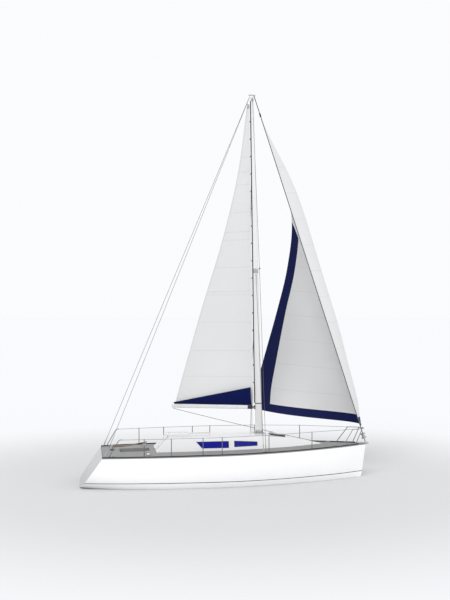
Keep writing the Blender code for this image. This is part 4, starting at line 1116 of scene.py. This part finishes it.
def build_preventer():
    """Line from the boom's end to an eye on the foredeck."""
    place = boom_frame()
    start = place @ Vector((BAIL_AT, 0, -BOOM_SIZE[1] / 2 - LINE_DROP))
    eye = deck_point(*FOREDECK_EYE)
    end = eye + Vector((-0.01, 0, 0.030))
    points = []
    for i in range(25):
        t = i / 24
        points.append(start.lerp(end, t) - UP * LINE_SAG * 4 * t * (1 - t))
    line = tube("preventer_line", points, bpy.context.scene.boat_sizes.line / 2)
    line.data.materials.append(FINISHES["line"])
    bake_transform(line)
    ways = ((-0.022, -0.002), (-0.016, 0.024), (0.0, 0.034), (0.016, 0.024), (0.022, -0.002))
    ring = tube("foredeck_eye", [eye + Vector((x, 0, z)) for x, z in ways], 0.004, smoothness=5)
    base = turned("foredeck_eye_base", "eye_base", Matrix.Translation(eye))
    hand_over(merge("foredeck_eye", ring, base), "stainless")


def sail(name, place, finish, node):
    """Sail of woven cloth on a grid, with the size and the area that it is cut to."""
    chords = chord_lengths(place)
    luff = curve_length(lambda v: place(0, v), SAIL_LEVELS)

    def metres(u, v):
        return (1 - u) * read_row(chords, v), v * luff

    piece = cloth_grid(name, 28, 72, place, metres)
    hand_over(thicken(piece, bpy.context.scene.boat_sizes.cloth), finish, replaces=node)
    area = sum((a + b) / 2 * luff / SAIL_LEVELS for a, b in zip(chords, chords[1:]))
    return piece, (max(chords) * HEMMED, luff * HEMMED), area


def corner_ring(label, u, v):
    """Pressed ring in a corner of the genoa."""
    centre = genoa_point(u, v)
    normal = surface_normal(genoa_point, u, v)
    return fit(f"ring_{label}", "sail_ring", along(centre - normal * 0.006, centre + normal))


def surface_normal(place, u, v):
    step = 0.01
    a = place(min(1, u + step), v) - place(max(0, u - step), v)
    b = place(u, min(1, v + step)) - place(u, max(0, v - step))
    return a.cross(b).normalized()


def build_genoa():
    piece, flat, area = sail("genoa_sail", genoa_point, "genoa_cloth", "genoa")
    rings = [corner_ring("clew", 0.975, 0.012), corner_ring("tack", 0.02, 0.010)]


def batten(i, z):
    """Batten pocket sewn on the mainsail's windward face."""
    low, high = MAIN_TABLE[0][0], MAIN_TABLE[-1][0]
    middle = (z - low) / (high - low)
    half = BATTEN_WIDTH / 2 / (high - low)

    def on_sail(u, v):
        share = 0.04 + 0.955 * u
        height = middle + half * (2 * v - 1)
        return main_point(share, height) - surface_normal(main_point, share, height) * 0.0030

    chord = smooth_column(MAIN_TABLE, 1, z)
    pocket = cloth_grid(f"batten_pocket_{i}", 20, 3, on_sail, lambda u, v: (u * chord, v * BATTEN_WIDTH))
    return hand_over(thicken(pocket, 0.003), "main_cloth", "boom")


def build_mainsail():
    piece, flat, area = sail("main_sail", main_point, "main_cloth", "mainsail")
    pockets = [batten(i, z) for i, z in enumerate(BATTEN_HEIGHTS)]
    place = boom_frame()
    top = place @ Vector((0.050, -0.004, MAIN_TABLE[-1][0] - BOOM_HEIGHT - 0.09))
    place.translation = top
    hand_over(block("headboard", place, (0.085, 0.012, 0.17), bevel=0.004), "stainless", "boom")


def boom_strap(name, x):
    """Webbing strap of the bag, passed round the boom from one side of the canvas to the other."""

    def round_boom(u, v):
        y, z = boom_section(math.radians(STRAP_START - STRAP_TURN * u), 0.003)
        return boom_frame() @ Vector((x + STRAP_WIDTH * v, y, z))

    strap = cloth_grid(name, 38, 3, round_boom, lambda u, v: (u * 0.35, v * STRAP_WIDTH))
    return hand_over(thicken(strap, 0.002, 40), "webbing", "boom")


def build_bag():
    """Open canvas bag along the boom, slack between its top edges."""
    place = boom_frame()
    floor = BOOM_SIZE[1] / 2 + 0.003
    outline = [(-y, z) for y, z in reversed(BAG_SIDE)] + BAG_SIDE

    def side_point(v):
        at = v * (len(outline) - 1)
        k = min(len(outline) - 2, int(at))
        t = at - k
        (y0, z0), (y1, z1) = outline[k], outline[k + 1]
        return y0 + (y1 - y0) * t, z0 + (z1 - z0) * t

    def on_bag(u, v):
        height = BAG_HEIGHTS[0] + (BAG_HEIGHTS[1] - BAG_HEIGHTS[0]) * u
        y, rise = side_point(v)
        wave = math.sin(23 * u + 3 * v) * math.sin(9 * u + 11 * v + 1.3) + 0.45 * math.sin(67 * u - 9 * v)
        slack = BAG_SLACK * wave * math.sin(math.pi * rise) if 0 < rise < 1 else 0.0
        y = y * (1.0 - 0.25 * u * u) + math.copysign(slack, y) * min(1.0, height / 0.2)
        return place @ Vector((BAG_START + BAG_LENGTH * u, y, floor + rise * height))

    bag = cloth_grid("sail_bag_canvas", 90, 30, on_bag, lambda u, v: (u * BAG_LENGTH, v * 1.3))
    hand_over(thicken(bag, 0.004), "bag_canvas", replaces="sail_bag")
    for label, v in (("windward", 0.0), ("leeward", 1.0)):
        hem = tube(f"bag_hem_{label}", [on_bag(i / 20, v) for i in range(21)], 0.007)
        hand_over(hem, "black", "boom")
    for i, x in enumerate(BAG_STRAPS):
        boom_strap(f"bag_strap_{i}", x)
    fore, middle, aft = [curve_length(lambda v: on_bag(u, v), 12) for u in (0, 0.5, 1)]


def build_rails():
    for node in ("guard_rail_port", "guard_rail_starboard", "pulpit"):
        dress(node, "steel", "rail_steel", angle=50)
    reach, half = PULPIT_SIZE
    for label, side in SIDES:
        end = PULPIT + Vector((reach * math.cos(PULPIT_OPEN), side * half * math.sin(PULPIT_OPEN), 0))
        place = along(end - Vector((0.034, -side * 0.006, 0)), end)
        fit(f"pulpit_end_{label}", "rail_sleeve", place)


def build_deck_gear():
    half_horn = ((0.025, -0.002, 1.0), (0.070, 0.0, 0.75), (0.100, 0.004, 0.45))
    horn_ways = [(-x, z, share) for x, z, share in reversed(half_horn)] + list(half_horn)
    for label, _ in SIDES:
        node = f"winch_{label}"
        low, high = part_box(node)
        middle = (low + high) / 2
        base = drop_on("deck", middle.x + 0.09, middle.y) + 0.0005
        place = Matrix.Translation((middle.x, middle.y, base))
        fit(f"{node}_drum", "winch", place, replaces=node)
        for spot in ("aft", "bow"):
            node = f"cleat_{spot}_{label}"
            low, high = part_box(node)
            middle = (low + high) / 2
            path = [(middle.x + x, middle.y, high.z - 0.010 + z) for x, z, _ in horn_ways]
            shares = [share for _, _, share in horn_ways]
            horn = tube(f"{node}_horn", path, 0.011, sides=6, smoothness=5, radii=shares)
            legs = [turned(f"{node}_leg", "cleat_leg", Matrix.Translation((middle.x + x, middle.y, low.z)))
                    for x in (-0.026, 0.026)]
            hand_over(merge(f"{node}_form", horn, *legs), "stainless", replaces=node)


# Stage

def build_stage():
    floor = primitive("floor", bpy.ops.mesh.primitive_circle_add, vertices=96, radius=FLOOR_RADIUS,
                      fill_type="NGON")
    ground = Finish("floor", FLOOR_PAINTED_SHADE, 0.95, specular=0.0)
    # The floor is painted darker by the boat, a painted shadow pool that fades out to the plain floor
    # colour
    reach = ground.node("VectorMath", {0: ground.coordinates()}, operation="LENGTH").outputs["Value"]
    fade = {"Value": reach, "From Min": PAINTED_SHADE_FADE[0], "From Max": PAINTED_SHADE_FADE[1]}
    far = ground.node("MapRange", fade, interpolation_type="SMOOTHSTEP").outputs[0]
    ground.drive("Base Color", ground.mix(far, FLOOR_PAINTED_SHADE, FLOOR_FAR))
    floor.data.materials.append(FINISHES["floor"])
    scene = bpy.context.scene
    scene.world = bpy.data.worlds.new("studio")
    scene.world.use_nodes = True
    sky = scene.world.node_tree.nodes["Background"]
    sky.inputs["Color"].default_value = SKY_COLOUR
    sky.inputs["Strength"].default_value = SKY_STRENGTH
    for name, energy, spread, turn in LAMPS:
        data = bpy.data.lights.new(name, "SUN")
        data.energy = energy
        data.angle = math.radians(spread)
        new_object(name, data).rotation_euler = [math.radians(a) for a in turn]
    data = bpy.data.cameras.new("camera")
    data.lens = CAMERA_LENS
    data.sensor_width = 36.0
    data.clip_end = 2000.0
    scene.camera = new_object("camera", data)
    scene.camera.location = CAMERA_AT
    scene.camera.rotation_euler = CAMERA_TURN
    scene.view_settings.view_transform = "Standard"


# Steps

class BOAT_OT_finishes(Operator):
    """Makes the materials"""

    bl_idname = "boat.finishes"
    bl_label = "Finishes"

    def execute(self, context):
        make_finishes()
        return {"FINISHED"}


class BOAT_OT_hull(Operator):
    """Dresses the hull and its toe rails"""

    bl_idname = "boat.hull"
    bl_label = "Hull"

    def execute(self, context):
        build_hull()
        return {"FINISHED"}


class BOAT_OT_deck(Operator):
    """Dresses the deck, the cockpit and its lids"""

    bl_idname = "boat.deck"
    bl_label = "Deck"

    def execute(self, context):
        build_deck()
        return {"FINISHED"}


class BOAT_OT_coachroof(Operator):
    """Dresses the coachroof, its windows and hatches"""

    bl_idname = "boat.coachroof"
    bl_label = "Coachroof"

    def execute(self, context):
        build_coachroof()
        return {"FINISHED"}


class BOAT_OT_underwater(Operator):
    """Dresses the keel, the rudder and the drive"""

    bl_idname = "boat.underwater"
    bl_label = "Underwater"

    def execute(self, context):
        build_underwater()
        return {"FINISHED"}


class BOAT_OT_tiller(Operator):
    """Makes the tiller and its head"""

    bl_idname = "boat.tiller"
    bl_label = "Tiller"

    def execute(self, context):
        build_tiller()
        return {"FINISHED"}


class BOAT_OT_spars(Operator):
    """Makes the mast, the spreaders and the boom"""

    bl_idname = "boat.spars"
    bl_label = "Spars"

    def execute(self, context):
        build_spars()
        return {"FINISHED"}


class BOAT_OT_rigging(Operator):
    """Dresses the stays and shrouds and makes their ends"""

    bl_idname = "boat.rigging"
    bl_label = "Rigging"

    def execute(self, context):
        build_rigging()
        return {"FINISHED"}


class BOAT_OT_genoa(Operator):
    """Makes the genoa and its corner rings"""

    bl_idname = "boat.genoa"
    bl_label = "Genoa"

    def execute(self, context):
        build_genoa()
        return {"FINISHED"}


class BOAT_OT_mainsail(Operator):
    """Makes the mainsail with its battens"""

    bl_idname = "boat.mainsail"
    bl_label = "Mainsail"

    def execute(self, context):
        build_mainsail()
        return {"FINISHED"}


class BOAT_OT_sail_bag(Operator):
    """Makes the canvas bag along the boom"""

    bl_idname = "boat.sail_bag"
    bl_label = "Sail bag"

    def execute(self, context):
        build_bag()
        return {"FINISHED"}


class BOAT_OT_rails(Operator):
    """Dresses the guard rails and the pulpit"""

    bl_idname = "boat.rails"
    bl_label = "Rails"

    def execute(self, context):
        build_rails()
        return {"FINISHED"}


class BOAT_OT_deck_gear(Operator):
    """Makes the winches and cleats"""

    bl_idname = "boat.deck_gear"
    bl_label = "Deck gear"

    def execute(self, context):
        build_deck_gear()
        return {"FINISHED"}


class BOAT_OT_stage(Operator):
    """Makes the floor, the lights and the camera"""

    bl_idname = "boat.stage"
    bl_label = "Stage"

    def execute(self, context):
        build_stage()
        return {"FINISHED"}


STEPS = [
    BOAT_OT_finishes,
    BOAT_OT_hull,
    BOAT_OT_deck,
    BOAT_OT_coachroof,
    BOAT_OT_underwater,
    BOAT_OT_tiller,
    BOAT_OT_spars,
    BOAT_OT_rigging,
    BOAT_OT_genoa,
    BOAT_OT_mainsail,
    BOAT_OT_sail_bag,
    BOAT_OT_rails,
    BOAT_OT_deck_gear,
    BOAT_OT_stage,
]


class BOAT_PT_steps(Panel):
    """Lists the boat's steps, sizes and colours"""

    bl_idname = "BOAT_PT_steps"
    bl_label = "Sailing cruiser"
    bl_space_type = "VIEW_3D"
    bl_region_type = "UI"
    bl_category = "Boat"

    def draw(self, context):
        for group in (context.scene.boat_sizes, context.scene.boat_colours):
            for key in group.bl_rna.properties.keys():
                if key not in {"name", "rna_type"}:
                    self.layout.prop(group, key)
        for made in STEPS:
            self.layout.operator(made.bl_idname)


CLASSES = [BoatSizes, BoatColours, *STEPS, BOAT_PT_steps]


def register():
    for item in CLASSES:
        bpy.utils.register_class(item)
    bpy.types.Scene.boat_sizes = PointerProperty(type=BoatSizes)
    bpy.types.Scene.boat_colours = PointerProperty(type=BoatColours)


def unregister():
    del bpy.types.Scene.boat_colours
    del bpy.types.Scene.boat_sizes
    for item in reversed(CLASSES):
        bpy.utils.unregister_class(item)


def main():
    register()
    for made in STEPS:
        getattr(bpy.ops.boat, made.bl_idname.split(".")[1])()


if __name__ == "__main__":
    main()
